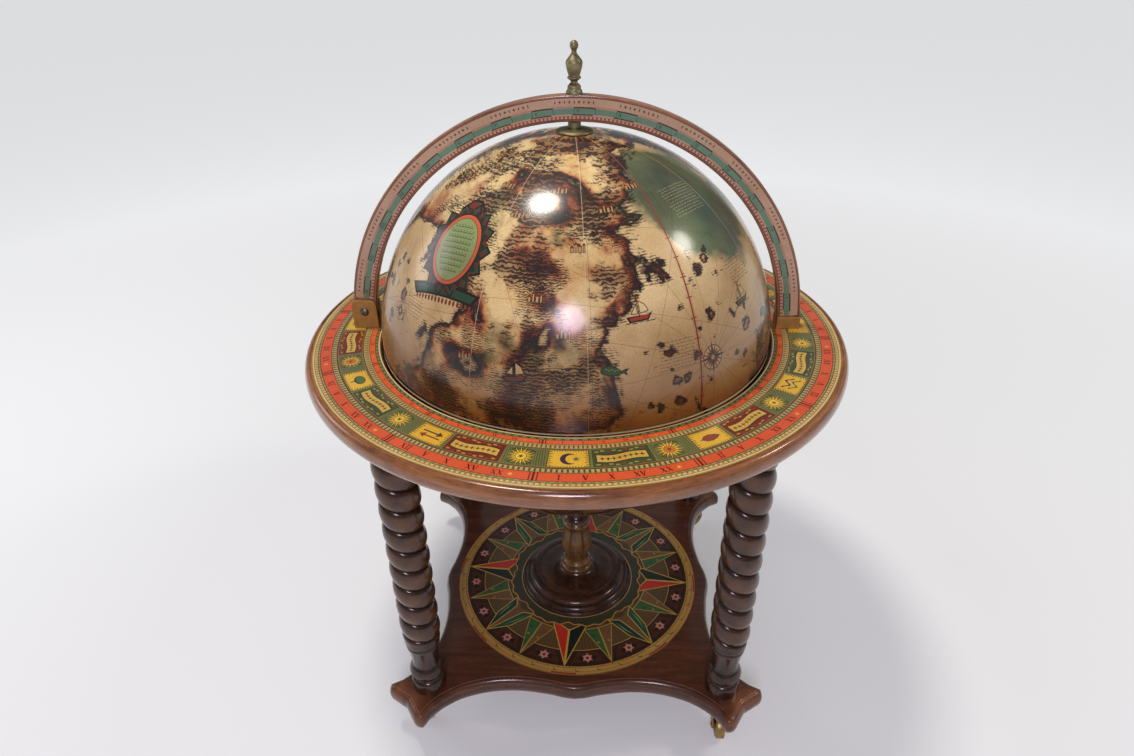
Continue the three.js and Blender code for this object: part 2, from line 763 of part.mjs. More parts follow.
function shelf() {
  const shoulder = shelfThickness - shelfStepHeight;
  const noseShares = [[0.62, 0], [0.16, 0.12], [0, 0.42], [0.12, 0.72], [0.5, 0.93], [0.86, 1]];
  const levels = [
    ...noseShares.map(([across, up]) => [across * shelfStepInset, up * shoulder]),
    [shelfStepInset, shelfThickness],
  ];
  const holes = legPlaces.map(({ x, y }) =>
    bar(clear(casterStemRadius, threadFit), shelfThickness + overrun * 2, -overrun).translate(x, y, 0),
  );
  const tieHole = bar(clear(tieRodRadius, slideFit), shelfThickness + overrun * 2, -overrun);
  const tieRecess = bar(clear(tieHeadRadius, slideFit), tieHeadRecess + overrun, -overrun);
  return carved(mouldedSlab(shelfOutline(), levels), [...holes, tieHole, tieRecess]);
}

addPiece(base, "shelf", shelf(), finishes.darkWood).position.z = casterHeight;
addPiece(
  base,
  "compass_disc",
  collarRing(clear(tieRodRadius, slideFit), compassRadius, sheetThickness, globeSides),
  finishes.print,
).position.z = shelfTop;

// Pedestal: stepped base, baluster and the seat under the bowl, all on one tie rod
const baseShares = [
  [1, 0], [1, 0.13], [0.985, 0.18], [0.96, 0.2], [0.935, 0.35], [0.895, 0.41], [0.875, 0.42], [0.845, 0.57],
  [0.785, 0.65], [0.72, 0.685], [0.685, 0.66], [0.65, 0.69], [0.53, 0.74], [0.415, 0.815], [0.32, 0.93],
  [0.3, 1],
];
const balusterShares = [
  [1, 0], [1.05, 0.02], [1, 0.045], [0.89, 0.06], [0.94, 0.1], [0.92, 0.14], [0.73, 0.17], [0.73, 0.29],
  [0.86, 0.36], [0.98, 0.43], [1, 0.48], [0.96, 0.56], [0.86, 0.68], [0.76, 0.8], [0.75, 0.85], [0.88, 0.88],
  [0.88, 0.93], [0.73, 0.96], [0.72, 1],
];
const seatShares = [
  [0.3, 0], [0.37, 0.03], [0.36, 0.07], [0.26, 0.12], [0.25, 0.22], [0.3, 0.35], [0.43, 0.53], [0.66, 0.71],
  [0.9, 0.85], [1, 0.93],
];

function onTieRod(shares, radius, height) {
  const bore = clear(tieRodRadius, slideFit);
  return turned([
    new THREE.Vector2(bore, 0),
    ...pointsFromShares(shares, radius, height),
    new THREE.Vector2(bore, height),
  ]);
}

function bowlSeat() {
  const bore = clear(tieRodRadius, slideFit);
  const globeCentre = ringTop - seatFoot;
  const seatAt = (radius) => globeCentre - sphereReach(globeRadius, radius) - restGap;
  const hollow = Array.from({ length: seatSteps + 1 }, (_, step) => {
    const radius = seatRadius + ((bore - seatRadius) * step) / seatSteps;
    return new THREE.Vector2(radius, seatAt(radius));
  });
  return turned([
    new THREE.Vector2(bore, 0),
    ...pointsFromShares(seatShares, seatRadius, seatAt(seatRadius)),
    ...hollow,
  ]);
}

addPiece(
  base,
  "pedestal_base",
  onTieRod(baseShares, pedestalBaseRadius, pedestalBaseHeight),
  finishes.darkWood,
).position.z = pedestalFoot;
addPiece(
  base,
  "pedestal_baluster",
  onTieRod(balusterShares, balusterRadius, balusterHeight),
  finishes.paleWood,
).position.z = balusterFoot;
addPiece(base, "pedestal_seat", bowlSeat(), finishes.darkWood).position.z = seatFoot;

function tieRod() {
  const headFoot = casterHeight + tieHeadRecess - tieHeadHeight;
  const headTop = headFoot + tieHeadHeight;
  const rodTop = ringTop - rackDepth + knobBoreDepth - restGap;
  return turned(
    [
      new THREE.Vector2(0, headFoot),
      new THREE.Vector2(tieHeadRadius, headFoot),
      new THREE.Vector2(tieHeadRadius, headTop),
      new THREE.Vector2(tieRodRadius, headTop),
      new THREE.Vector2(tieRodRadius, rodTop),
      new THREE.Vector2(0, rodTop),
    ],
    smallSides,
  );
}

addPiece(base, "tie_rod", tieRod(), finishes.steel);

// Casters: the stem screws up through the shelf into the leg and so holds the two together
const crownTop = casterHeight - casterPlateThickness - runningFit;
const crownBottom = crownTop - forkCrownThickness;

function casterStem() {
  const plateFoot = casterHeight - casterPlateThickness;
  const stemTop = shelfTop + casterStemGrip;
  const flangeTop = casterFlangeLevel + casterFlangeThickness;
  return turned(
    [
      new THREE.Vector2(0, casterFlangeLevel),
      new THREE.Vector2(casterFlangeRadius, casterFlangeLevel),
      new THREE.Vector2(casterFlangeRadius, flangeTop),
      new THREE.Vector2(casterNeckRadius, flangeTop),
      new THREE.Vector2(casterNeckRadius, plateFoot),
      new THREE.Vector2(casterPlateRadius, plateFoot),
      new THREE.Vector2(casterPlateRadius, casterHeight),
      new THREE.Vector2(casterStemRadius, casterHeight),
      new THREE.Vector2(casterStemRadius, stemTop),
      new THREE.Vector2(0, stemTop),
    ],
    smallSides,
  );
}

function casterFork() {
  const armInner = wheelWidth / 2 + runningFit * 2;
  const armPlace = armInner + forkPlate / 2;
  const slope = Math.atan2(crownTop - wheelRadius, casterTrail);
  const boss = arcPoints(
    casterTrail,
    wheelRadius,
    forkBossRadius,
    slope - Math.PI / 2 - Math.PI / 4,
    slope - Math.PI / 4,
    endSteps,
  );
  const outline = [
    new THREE.Vector2(-forkCrownRadius / 2, crownTop),
    new THREE.Vector2(-forkCrownRadius / 2, crownBottom),
    ...boss,
    new THREE.Vector2(forkCrownRadius, crownBottom),
    new THREE.Vector2(forkCrownRadius, crownTop),
  ];
  const arms = [-armPlace, armPlace].map((y) => plateAcross(outline, forkPlate).translate(0, y, 0));
  const crown = bar(forkCrownRadius, forkCrownThickness, crownBottom, crownSides);
  const neckBore = clear(casterNeckRadius, slideFit);
  const neckHole = bar(neckBore, forkCrownThickness + overrun * 2, crownBottom - overrun);
  const axleLength = (armInner + forkPlate + overrun) * 2;
  const axleHole = bar(clear(axleRadius, threadFit), axleLength, -axleLength / 2).rotateX(Math.PI / 2);
  return carved(joined([crown, ...arms]), [neckHole, axleHole.translate(casterTrail, 0, wheelRadius)]);
}

function casterWheel() {
  const half = wheelWidth / 2;
  const bore = clear(axleRadius, slideFit);
  const face = [[bore, half], [wheelHubRadius, half], [wheelRadius - wheelShoulder, half - wheelShoulder]];
  const tread = [[wheelRadius, half - wheelShoulder * 2]];
  const side = [...face, ...tread];
  const back = side.map(([radius, height]) => [radius, -height]).reverse();
  const profile = [...side, ...back].map(([radius, height]) => new THREE.Vector2(radius, height));
  return turned(profile, wheelSides).rotateX(Math.PI / 2);
}

function casterAxle() {
  const half = wheelWidth / 2 + runningFit * 2 + forkPlate;
  const side = [[axleHeadRadius, half + axleHeadThickness], [axleHeadRadius, half], [axleRadius, half]];
  const other = side.map(([radius, height]) => [radius, -height]).reverse();
  const ends = [[0, half + axleHeadThickness], ...side, ...other, [0, -half - axleHeadThickness]];
  const profile = ends.map(([radius, height]) => new THREE.Vector2(radius, height));
  return turned(profile, smallSides).rotateX(Math.PI / 2);
}

casters.forEach(({ corner, x, y, turn }) => {
  const place = new THREE.Vector3(x * legOffset, y * legOffset, 0);
  const axlePlace = new THREE.Vector3(casterTrail, 0, wheelRadius);
  const swivel = new THREE.Group();
  swivel.position.copy(place);
  swivel.rotation.z = turn;
  base.add(swivel);
  addPiece(base, `caster_stem_${corner}`, casterStem(), finishes.brass).position.copy(place);
  addPiece(swivel, `caster_fork_${corner}`, casterFork(), finishes.brass);
  addPiece(swivel, `caster_wheel_${corner}`, casterWheel(), finishes.brass).position.copy(axlePlace);
  addPiece(swivel, `caster_axle_${corner}`, casterAxle(), finishes.brass).position.copy(axlePlace);
});

export default globeBar;
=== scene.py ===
"""Looks of a floor globe bar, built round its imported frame.

The globe opens at the level of a printed table ring. A half arch carries the pole of its upper half, four
rope-twist legs join the ring to a moulded shelf, and a turned pedestal stands between shelf and globe.
Sizes are in millimetres until a mesh is made, and the scene is in metres, +Z up, with the front at -Y.
"""

import json
import logging
from collections.abc import Callable, Iterable, Sequence
from dataclasses import dataclass, field, replace
from enum import Enum
from functools import partial
from math import acos, asin, ceil, cos, degrees, pi, radians, sin, sqrt, tau

import bmesh
import bpy
import numpy as np
from mathutils import Matrix, Vector
from mathutils.geometry import delaunay_2d_cdt

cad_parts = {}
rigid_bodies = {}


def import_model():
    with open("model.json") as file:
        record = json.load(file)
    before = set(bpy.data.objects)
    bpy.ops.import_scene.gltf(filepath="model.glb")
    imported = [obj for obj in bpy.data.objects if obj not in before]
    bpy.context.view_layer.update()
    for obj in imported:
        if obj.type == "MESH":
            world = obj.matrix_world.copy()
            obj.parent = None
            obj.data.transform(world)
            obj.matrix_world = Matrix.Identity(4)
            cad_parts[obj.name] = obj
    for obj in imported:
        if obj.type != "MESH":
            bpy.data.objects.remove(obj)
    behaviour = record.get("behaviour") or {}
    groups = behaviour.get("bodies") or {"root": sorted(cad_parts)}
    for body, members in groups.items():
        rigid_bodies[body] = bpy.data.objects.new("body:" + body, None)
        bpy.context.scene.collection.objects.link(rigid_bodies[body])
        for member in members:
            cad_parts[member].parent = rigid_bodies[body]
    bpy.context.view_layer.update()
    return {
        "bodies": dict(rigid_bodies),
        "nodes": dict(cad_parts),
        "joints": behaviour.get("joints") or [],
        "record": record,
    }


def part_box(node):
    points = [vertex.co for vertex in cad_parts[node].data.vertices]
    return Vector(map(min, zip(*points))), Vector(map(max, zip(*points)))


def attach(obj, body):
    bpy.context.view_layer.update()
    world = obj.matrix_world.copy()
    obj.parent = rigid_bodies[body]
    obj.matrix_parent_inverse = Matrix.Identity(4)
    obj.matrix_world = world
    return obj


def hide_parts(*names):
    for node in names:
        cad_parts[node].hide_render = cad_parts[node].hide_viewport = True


log = logging.getLogger("globe_bar")

MM = 0.001
GLOBE_CENTRE = 543.0
GLOBE_RADIUS = 248.0
GLOBE_GAP = 0.3
# Kinds of node, some with a setting that goes with them.
ATTRIBUTE = "ShaderNodeAttribute"
BUMP = "ShaderNodeBump"
COMBINE = "ShaderNodeCombineXYZ"
MAPPING = "ShaderNodeMapping"
NOISE = "ShaderNodeTexNoise"
NOISE_4D = "ShaderNodeTexNoise noise_dimensions=4D"
OUTPUT = "ShaderNodeOutputMaterial"
PLACE = "ShaderNodeTexCoord"
RAMP = "ShaderNodeValToRGB"
RANGE = "ShaderNodeMapRange"
SEPARATE = "ShaderNodeSeparateXYZ"
SHADER = "ShaderNodeBsdfPrincipled"
WAVE = "ShaderNodeTexWave bands_direction=Z"
BLEND = "ShaderNodeMix data_type=RGBA"
STAIN = "ShaderNodeMix data_type=RGBA blend_type=MULTIPLY"
OPERATIONS = (
    "ADD SUBTRACT MULTIPLY DIVIDE MULTIPLY_ADD MINIMUM MAXIMUM SINE COSINE ARCTAN2 ABSOLUTE FLOOR"
    " LESS_THAN GREATER_THAN"
)
PLUS, MINUS, TIMES, DIVIDE, TIMES_PLUS, LEAST, MOST, SINE, COSINE, ANGLE, ABSOLUTE, FLOOR, BELOW, ABOVE = (
    f"ShaderNodeMath operation={name}" for name in OPERATIONS.split()
)
SHIFT, TINT, DOT, LENGTH, UNIT, BEND = (
    f"ShaderNodeVectorMath operation={name}"
    for name in "ADD MULTIPLY DOT_PRODUCT LENGTH NORMALIZE MULTIPLY_ADD".split()
)

Tree = bpy.types.NodeTree
Node = bpy.types.Node
Socket = bpy.types.NodeSocket
Material = bpy.types.Material
Values = dict[str, object]
Adder = Callable[..., Node]
Point = tuple[float, float]
Profile = list[Point]
Outline = Sequence[Point] | np.ndarray
Parts = list[tuple[object, str]]
Faces = list[tuple[int, ...]]
Colour = tuple[float, float, float, float]


def linear(colour: str) -> Colour:
    """Turn an sRGB hex colour into linear light.

    Args:
        colour: A hash and six hex digits, or nothing for a clear ink.

    Returns:
        Red, green, blue and alpha.
    """
    if not colour:
        return 1.0, 1.0, 1.0, 0.0
    shares = [int(colour[place : place + 2], 16) / 255 for place in (1, 3, 5)]
    red, green, blue = (s / 12.92 if s <= 0.04045 else ((s + 0.055) / 1.055) ** 2.4 for s in shares)
    return red, green, blue, 1.0


def new_node(
    tree: Tree, kind: str, *values: object, stops: Iterable[tuple[float, str]] = (), **named: object
) -> Node:
    """Add a node with its settings and links.

    Args:
        tree: Tree that the node goes into.
        kind: The node's type, and settings that go with it as name=value.
        *values: What the first inputs take: a socket, a node whose output is meant, or a value.
        stops: Places and colours of a colour ramp.
        **named: Inputs, with a capital and _ for a space, and settings, in small letters.

    Returns:
        The new node.
    """
    kind, *settings = kind.split()
    node = tree.nodes.new(kind)
    for name, value in [setting.split("=") for setting in settings] + [*named.items()]:
        if name[0].islower():
            setattr(node, name, value)
    links = dict(zip(node.inputs, values))
    for name, value in named.items():
        if name[0].isupper():
            title = name.replace("_", " ")
            links[next(socket for socket in node.inputs if socket.name == title and socket.enabled)] = value
    for socket, value in links.items():
        if isinstance(value, Node):
            value = next(output for output in value.outputs if output.enabled)
        if isinstance(value, Socket):
            tree.links.new(value, socket)
        else:
            socket.default_value = value
    for index, (place, colour) in enumerate(stops):
        elements = node.color_ramp.elements
        element = elements[index] if index < 2 else elements.new(place)
        element.position = place
        element.color = linear(colour)
    return node


class Grain(Enum):
    """How the grain of a wooden piece runs: along an axis, or round the axis of the ring or of the arch."""

    ALONG_X = (6.0, 60.0, 60.0)
    ALONG_Z = (60.0, 60.0, 6.0)
    ROUND_Z = "XY"
    ROUND_Y = "XZ"


def round_place(add: Adder, place: Socket, plane: str, centre: float, radius: float) -> Node:
    """Unroll the place of a point round an axis.

    Args:
        add: Adds a node.
        place: Socket of the place.
        plane: Axes of the plane that the grain runs round in.
        centre: Height of a level axis in metres.
        radius: Mean radius in metres.

    Returns:
        Node of length round the axis, distance from it and place along it.
    """
    split = add(SEPARATE, add(SHIFT, place, (0, 0, -centre)))
    rest = next(axis for axis in "XYZ" if axis not in plane)
    first, second = split.outputs[plane[0]], split.outputs[plane[1]]
    angle = add(ANGLE, second, first)
    length = add(TIMES, angle, radius)
    reach = add(LENGTH, add(COMBINE, first, second))
    return add(COMBINE, length, reach, split.outputs[rest])


@dataclass(frozen=True)
class Finish:
    """What a surface is made of and how it was worked."""

    name: str

    def make(self) -> Material:
        """Build the material.

        Returns:
            The finished material.
        """
        material = bpy.data.materials.new(self.name)
        material.use_nodes = True
        tree = material.node_tree
        tree.nodes.clear()
        add = partial(new_node, tree)
        place = add(PLACE).outputs["Object"]
        add(OUTPUT, add(SHADER, **self.sockets(add, place)))
        return material

    def sockets(self, add: Adder, place: Socket) -> Values:
        """Build the pattern and give what each input of the shader takes."""
        raise NotImplementedError


@dataclass(frozen=True)
class LacqueredWood(Finish):
    """Stained wood under a wiped, glossy lacquer: dark pores along the grain, worn paler where hands reach."""

    dark: str
    middle: str
    pale: str
    worn: str
    grain: Grain = Grain.ALONG_Z
    centre: float = 0.0
    radius: float = 0.3
    roughness: float = 0.3
    coat: float = 0.65

    def sockets(self, add: Adder, place: Socket) -> Values:
        """Build the pattern of the wood.

        Args:
            add: Adds a node.
            place: Place on the object.

        Returns:
            What the shader's inputs take.
        """
        stretch = self.grain.value
        if isinstance(stretch, str):
            place = round_place(add, place, stretch, self.centre, self.radius)
            stretch = Grain.ALONG_X.value
        # Pores are a few tenths of a millimetre wide, drawn 1 to 2 mm apart so that they show.
        fine = add(MAPPING, place, Scale=stretch)
        pores = add(NOISE, fine, Scale=14.0, Detail=5.0, Roughness=0.65)
        broad = add(NOISE, fine, Scale=1.6, Detail=3.0, Distortion=0.6)
        share = add(RANGE, add(PLUS, pores, broad), 0.7, 1.3)
        stain = add(RAMP, share, stops=((0.0, self.dark), (0.55, self.middle), (1.0, self.pale)))
        wear = add(ATTRIBUTE, attribute_name="wear").outputs["Fac"]
        smudge = add(NOISE, place, Scale=38.0, Detail=4.0)
        amount = add(RANGE, add(TIMES, wear, smudge), 0.25, 0.7, To_Max=0.85)
        gloss = add(RANGE, smudge, To_Min=self.roughness - 0.08, To_Max=self.roughness + 0.12)
        return {
            "Base_Color": add(BLEND, amount, A=stain, B=linear(self.worn)), "Roughness": gloss,
            "Normal": add(BUMP, Height=pores, Strength=0.15, Distance=0.0004), "IOR": 1.5,
            "Specular_IOR_Level": 0.15, "Coat_Weight": self.coat, "Coat_Roughness": 0.14,
        }


@dataclass(frozen=True)
class VarnishedPrint(Finish):
    """Printed paper glued down and varnished: the artwork's own colours, yellowed and a little blotchy."""

    yellowing: str = "#C89A58"
    roughness: float = 0.34

    def sockets(self, add: Adder, place: Socket) -> Values:
        """Build the pattern of paper and varnish.

        Args:
            add: Adds a node.
            place: Place on the object.

        Returns:
            What the shader's inputs take.
        """
        ink = add(ATTRIBUTE, attribute_name="ink").outputs["Color"]
        # Blotches of old varnish are 20 to 60 mm across, and the paper's fibres are drawn 1 mm apart.
        blotch = add(NOISE, place, Scale=24.0, Detail=6.0)
        fibre = add(NOISE, place, Scale=650.0, Detail=3.0)
        aged = add(RANGE, blotch, 0.35, 0.8, To_Max=0.35)
        old = add(STAIN, aged, A=ink, B=linear(self.yellowing))
        speckle = add(RANGE, fibre, To_Min=0.62, To_Max=1.38)
        return {
            "Base_Color": add(TINT, old, speckle),
            "Roughness": add(RANGE, blotch, To_Min=self.roughness - 0.1, To_Max=self.roughness + 0.15),
            "Normal": add(BUMP, Height=fibre, Strength=0.08, Distance=0.0002), "IOR": 1.5,
            "Specular_IOR_Level": 0.15, "Coat_Weight": 0.7, "Coat_Roughness": 0.18,
        }


@dataclass(frozen=True)
class OldMetal(Finish):
    """Cast or turned metal with a handled, spotted surface: tarnish in patches and brighter rubbed places."""

    bright: str
    dull: str
    roughness: float = 0.35
    metallic: float = 1.0

    def sockets(self, add: Adder, place: Socket) -> Values:
        """Build the pattern of the tarnish.

        Args:
            add: Adds a node.
            place: Place on the object.

        Returns:
            What the shader's inputs take.
        """
        # Tarnish patches are 5 to 15 mm across, and the fine scratches are drawn under 1 mm apart.
        patch = add(NOISE, place, Scale=90.0, Detail=6.0, Roughness=0.6)
        scratch = add(NOISE, place, Scale=900.0, Detail=2.0)
        wear = add(ATTRIBUTE, attribute_name="wear").outputs["Fac"]
        both = add(TIMES_PLUS, wear, 0.5, patch)
        return {
            "Base_Color": add(RAMP, both, stops=((0.42, self.dull), (0.9, self.bright))), "Metallic": self.metallic,
            "Roughness": add(RANGE, patch, To_Min=self.roughness + 0.15, To_Max=self.roughness - 0.12),
            "Normal": add(BUMP, Height=scratch, Strength=0.1, Distance=0.0002),
        }


@dataclass(frozen=True)
class PaintedShell(Finish):
    """Sprayed paint on the inside of a moulded shell: even, a little uneven in gloss, with specks of dust."""

    colour: str
    shade: str

    def sockets(self, add: Adder, place: Socket) -> Values:
        """Build the pattern of the paint.

        Args:
            add: Adds a node.
            place: Place on the object.

        Returns:
            What the shader's inputs take.
        """
        cloud = add(NOISE, place, Scale=12.0, Detail=5.0)
        speck = add(NOISE, place, Scale=420.0, Detail=2.0)
        return {
            "Base_Color": add(RAMP, cloud, stops=((0.3, self.shade), (0.7, self.colour))),
            "Roughness": add(RANGE, speck, To_Min=0.35, To_Max=0.55),
            "Normal": add(BUMP, Height=speck, Strength=0.1, Distance=0.0002), "IOR": 1.5,
        }


@dataclass(frozen=True)
class FloorPaint(Finish):
    """Pale matt paint of the floor, which is seen paler away from the lamps than it is lit."""

    def sockets(self, add: Adder, place: Socket) -> Values:
        """Build the glow that the camera and the object's gloss see.

        Args:
            add: Adds a node.
            place: Place on the floor.

        Returns:
            What the shader's inputs take.
        """
        light = add("ShaderNodeLightPath").outputs
        seen = add(MOST, light["Is Camera Ray"], light["Is Glossy Ray"])
        seen = add(MOST, seen, light["Is Transmission Ray"])
        far = add(RANGE, add(LENGTH, place), 0.7, 2.6, 0.16, 0.52)
        glow = {"Emission_Color": (1, 1, 1, 1), "Emission_Strength": add(TIMES, seen, far)}
        return {"Base_Color": linear("#E4E5E6"), "Roughness": 0.9, **glow}


def tangents(lon: float, colatitude: float) -> tuple[Vector, Vector, Vector]:
    """Directions at a point of the globe.

    Args:
        lon: Its longitude in degrees.
        colatitude: Its angle from the pole in degrees.

    Returns:
        The directions outwards, to the east and to the pole.
    """
    turn, tilt = radians(lon), radians(colatitude)
    out = Vector((sin(tilt) * cos(turn), sin(tilt) * sin(turn), cos(tilt)))
    east = Vector((-sin(turn), cos(turn), 0.0))
    return out, east, out.cross(east)


@dataclass(frozen=True)
class MapLacquer(Finish):
    """Printed map gores on a moulded shell under thick lacquer: parchment seas, engraved and tinted coasts."""

    centre: float = GLOBE_CENTRE * MM
    # Each land or sea: longitude, colatitude, reach as a cosine, and how much it lifts the ground.
    lands: tuple[tuple[float, float, float, float], ...] = (
        (-112.0, 24.0, 0.76, 0.16), (-98.0, 56.0, 0.88, 0.12), (-122.0, 84.0, 0.93, 0.15),
        (-97.0, 84.0, 0.97, 0.12), (-30.0, 36.0, 0.9, -0.24), (-52.0, 70.0, 0.86, -0.15),
        (-70.0, 74.0, 0.96, -0.14), (-143.0, 62.0, 0.93, -0.18), (-76.0, 47.0, 0.985, -0.12),
        (60.0, 55.0, 0.75, 0.14), (125.0, 60.0, 0.88, -0.14), (165.0, 35.0, 0.9, 0.12),
    )
    swarms: tuple[tuple[float, float, float], ...] = (
        (-64.0, 80.0, 0.975), (-48.0, 60.0, 0.98), (-36.0, 76.0, 0.98), (-82.0, 88.0, 0.985), (-150.0, 66.0, 0.98),
        (110.0, 70.0, 0.96),
    )
    roses: tuple[tuple[float, float], ...] = ((-52.0, 76.0), (-146.0, 66.0), (95.0, 70.0))

    def sockets(self, add: Adder, place: Socket) -> Values:
        """Build the map.

        Args:
            add: Adds a node.
            place: Place on the object.

        Returns:
            What the shader's inputs take.
        """
        unit = add(UNIT, add(SHIFT, place, (0, 0, -self.centre)))
        ground, soft = self.grounds(add, unit)
        colour = self.washes(add, unit, ground, soft)
        colour = self.strokes(add, unit, ground, colour)
        colour = self.lines(add, unit, colour)
        ink = add(ATTRIBUTE, attribute_name="ink").outputs
        printed = add(BLEND, ink["Alpha"], A=colour, B=ink["Color"])
        # Old varnish: broad brown clouds, and grain of the paper 1 mm apart.
        cloud = add(NOISE, unit, Scale=2.6, Detail=5.0)
        # Partly old varnish, partly painted shade: browner towards the rim and over all the lower half.
        rim = add(RANGE, add(SEPARATE, unit).outputs["Z"], 0.52, 0.04)
        share = add(MOST, rim, add(RANGE, cloud, 0.42, 0.75, To_Max=0.5))
        aged = add(STAIN, share, A=printed, B=linear("#9A703E"))
        speckle = add(RANGE, add(NOISE, unit, Scale=190.0, Detail=3.0), To_Min=0.62, To_Max=1.38)
        ripple = add(NOISE, unit, Scale=7.0, Detail=2.0)
        return {
            "Base_Color": add(TINT, aged, speckle), "Roughness": 0.5, "IOR": 1.5, "Specular_IOR_Level": 0.12,
            "Coat_Weight": 0.85, "Coat_Roughness": 0.17, "Coat_IOR": 1.5,
            "Coat_Normal": add(BUMP, Height=ripple, Strength=0.12, Distance=0.002),
        }

    def grounds(self, add: Adder, unit: Node) -> tuple[Node, Node]:
        """Raise the lands: a rough height, pushed up or down in places, with swarms of islands.

        Args:
            add: Adds a node.
            unit: Direction from the globe's middle.

        Returns:
            Node of a height that is 0.25 at a coast and rises inland, and the same without details.
        """
        lift = 0.0
        for lon, colatitude, reach, rise in self.lands:
            near = add(DOT, unit, tangents(lon, colatitude)[0])
            share = add(RANGE, near, reach, 1.0, To_Max=rise, interpolation_type="SMOOTHSTEP")
            lift = add(PLUS, lift, share)
        # Islands are 5 to 18 mm across, in swarms about 100 mm across.
        ragged = add(NOISE, unit, Scale=26.0, Detail=4.0).outputs["Color"]
        bent = add(BEND, ragged, (0.06, 0.06, 0.06), unit)
        isle = add(RANGE, add("ShaderNodeTexVoronoi", bent, Scale=12.0), 0.0, 0.5, 0.64, 0.43)
        swarm = -1.0
        for lon, colatitude, reach in self.swarms:
            near = add(DOT, unit, tangents(lon, colatitude)[0])
            swarm = add(MOST, swarm, add(RANGE, near, reach - 0.02, reach + 0.01, -0.3, 0.0))
        shoal = add(PLUS, isle, swarm)
        heights = []
        for detail in (13.0, 2.0):
            rough = add(NOISE, unit, Scale=3.1, Detail=detail, Roughness=0.6, Distortion=0.35)
            higher = add(MOST, add(PLUS, rough, lift), shoal)
            heights.append(add(RANGE, higher, 0.45, 0.75))
        return heights[0], heights[1]

    def washes(self, add: Adder, unit: Node, ground: Node, soft: Node) -> Node:
        """Tint sea and land with washes of colour.

        Args:
            add: Adds a node.
            unit: Direction from the globe's middle.
            ground: Height of the ground.
            soft: The same without details.

        Returns:
            Node of the colour.
        """
        tone = add(NOISE, unit, Scale=3.2, Detail=6.0)
        sea = add(RAMP, tone, stops=((0.3, "#B89662"), (0.7, "#E0C490")))
        green = add(RAMP, tone, stops=((0.35, "#34463A"), (0.62, "#5E6E4C")))
        # Green oceans lie under the upper right of the front and at the back.
        for lon, colatitude, reach in ((-36.0, 33.0, 1.012), (-22.0, 46.0, 1.024), (150.0, 52.0, 0.99)):
            torn = add(TIMES_PLUS, tone, 0.11, add(DOT, unit, tangents(lon, colatitude)[0]))
            sea = add(BLEND, add(RANGE, torn, reach, reach + 0.012, To_Max=0.95), A=sea, B=green)
        # Ground by height: black-brown shore, brick red behind it, and parchment inland.
        inland = (
            (0.0, "#2A1C20"), (0.16, "#38221F"), (0.29, "#66301F"), (0.42, "#9A5230"), (0.55, "#BE8C58"),
            (0.7, "#D6B074"), (1.0, "#E2C68C"),
        )
        hue = add(NOISE, unit, Scale=7.5, Detail=9.0, Roughness=0.65, Distortion=0.5)
        deep = add(RANGE, add(PLUS, soft, ground), 0.4, 1.4)
        land = add(RAMP, add(PLUS, deep, add(TIMES_PLUS, hue, 0.8, -0.4)), stops=inland)
        # Washes over the land: brown hills, brick red and moss green, each in patches 40 to 80 mm across.
        for seed, scale, start, ink, depth in (
            (7.0, 5.2, 0.47, "#74462A", 0.75), (12.0, 4.2, 0.54, "#9A3A22", 0.7),
            (20.0, 4.6, 0.55, "#56643E", 0.75),
        ):
            spread = add(NOISE_4D, unit, W=seed, Scale=scale, Detail=6.0, Roughness=0.6)
            amount = add(RANGE, spread, start, start + 0.1, To_Max=depth)
            land = add(BLEND, amount, A=land, B=linear(ink))
        return add(BLEND, add(RANGE, ground, 0.24, 0.26), A=sea, B=land)

    def strokes(self, add: Adder, unit: Node, ground: Node, colour: Node) -> Node:
        """Engrave the coasts, the shading of the sea along them, and the hills.

        Args:
            add: Adds a node.
            unit: Direction from the globe's middle.
            ground: Height of the ground.
            colour: Colour so far.

        Returns:
            Node of the colour.
        """
        coast = ((0.17, "#000000"), (0.245, "#FFFFFF"), (0.28, "#FFFFFF"), (0.44, "#000000"))
        masks = [(add(RAMP, ground, stops=coast), 0.9)]
        # Strokes of the burin lie 3 mm apart, coarser than the real 1 mm so that they show.
        comb = add(WAVE, unit, Scale=32.0, Distortion=5.0, Detail=2.0, Detail_Scale=0.9)
        near_sea = add(RANGE, ground, 0.04, 0.23, To_Max=1.1)
        cut = add(RANGE, add(TIMES, comb, near_sea), 0.32, 0.5)
        masks.append((add(TIMES, cut, add(BELOW, ground, 0.26)), 0.7))
        dry = add(ABOVE, ground, 0.3)
        for scale, seed, start, strength in ((22.0, 7.0, 0.43, 0.9), (36.0, 31.0, 0.45, 0.85)):
            hills = add(WAVE, unit, Scale=scale, Distortion=8.0, Detail=4.0, Detail_Scale=1.8)
            massif = add(NOISE_4D, unit, W=seed, Scale=5.2, Detail=6.0, Roughness=0.6)
            ridge = add(TIMES, hills, add(RANGE, massif, start, start + 0.16))
            masks.append((add(TIMES, add(RANGE, ridge, 0.28, 0.5), dry), strength))
        for mask, strength in masks:
            colour = add(BLEND, add(TIMES, mask, strength), A=colour, B=linear("#1E1512"))
        return colour

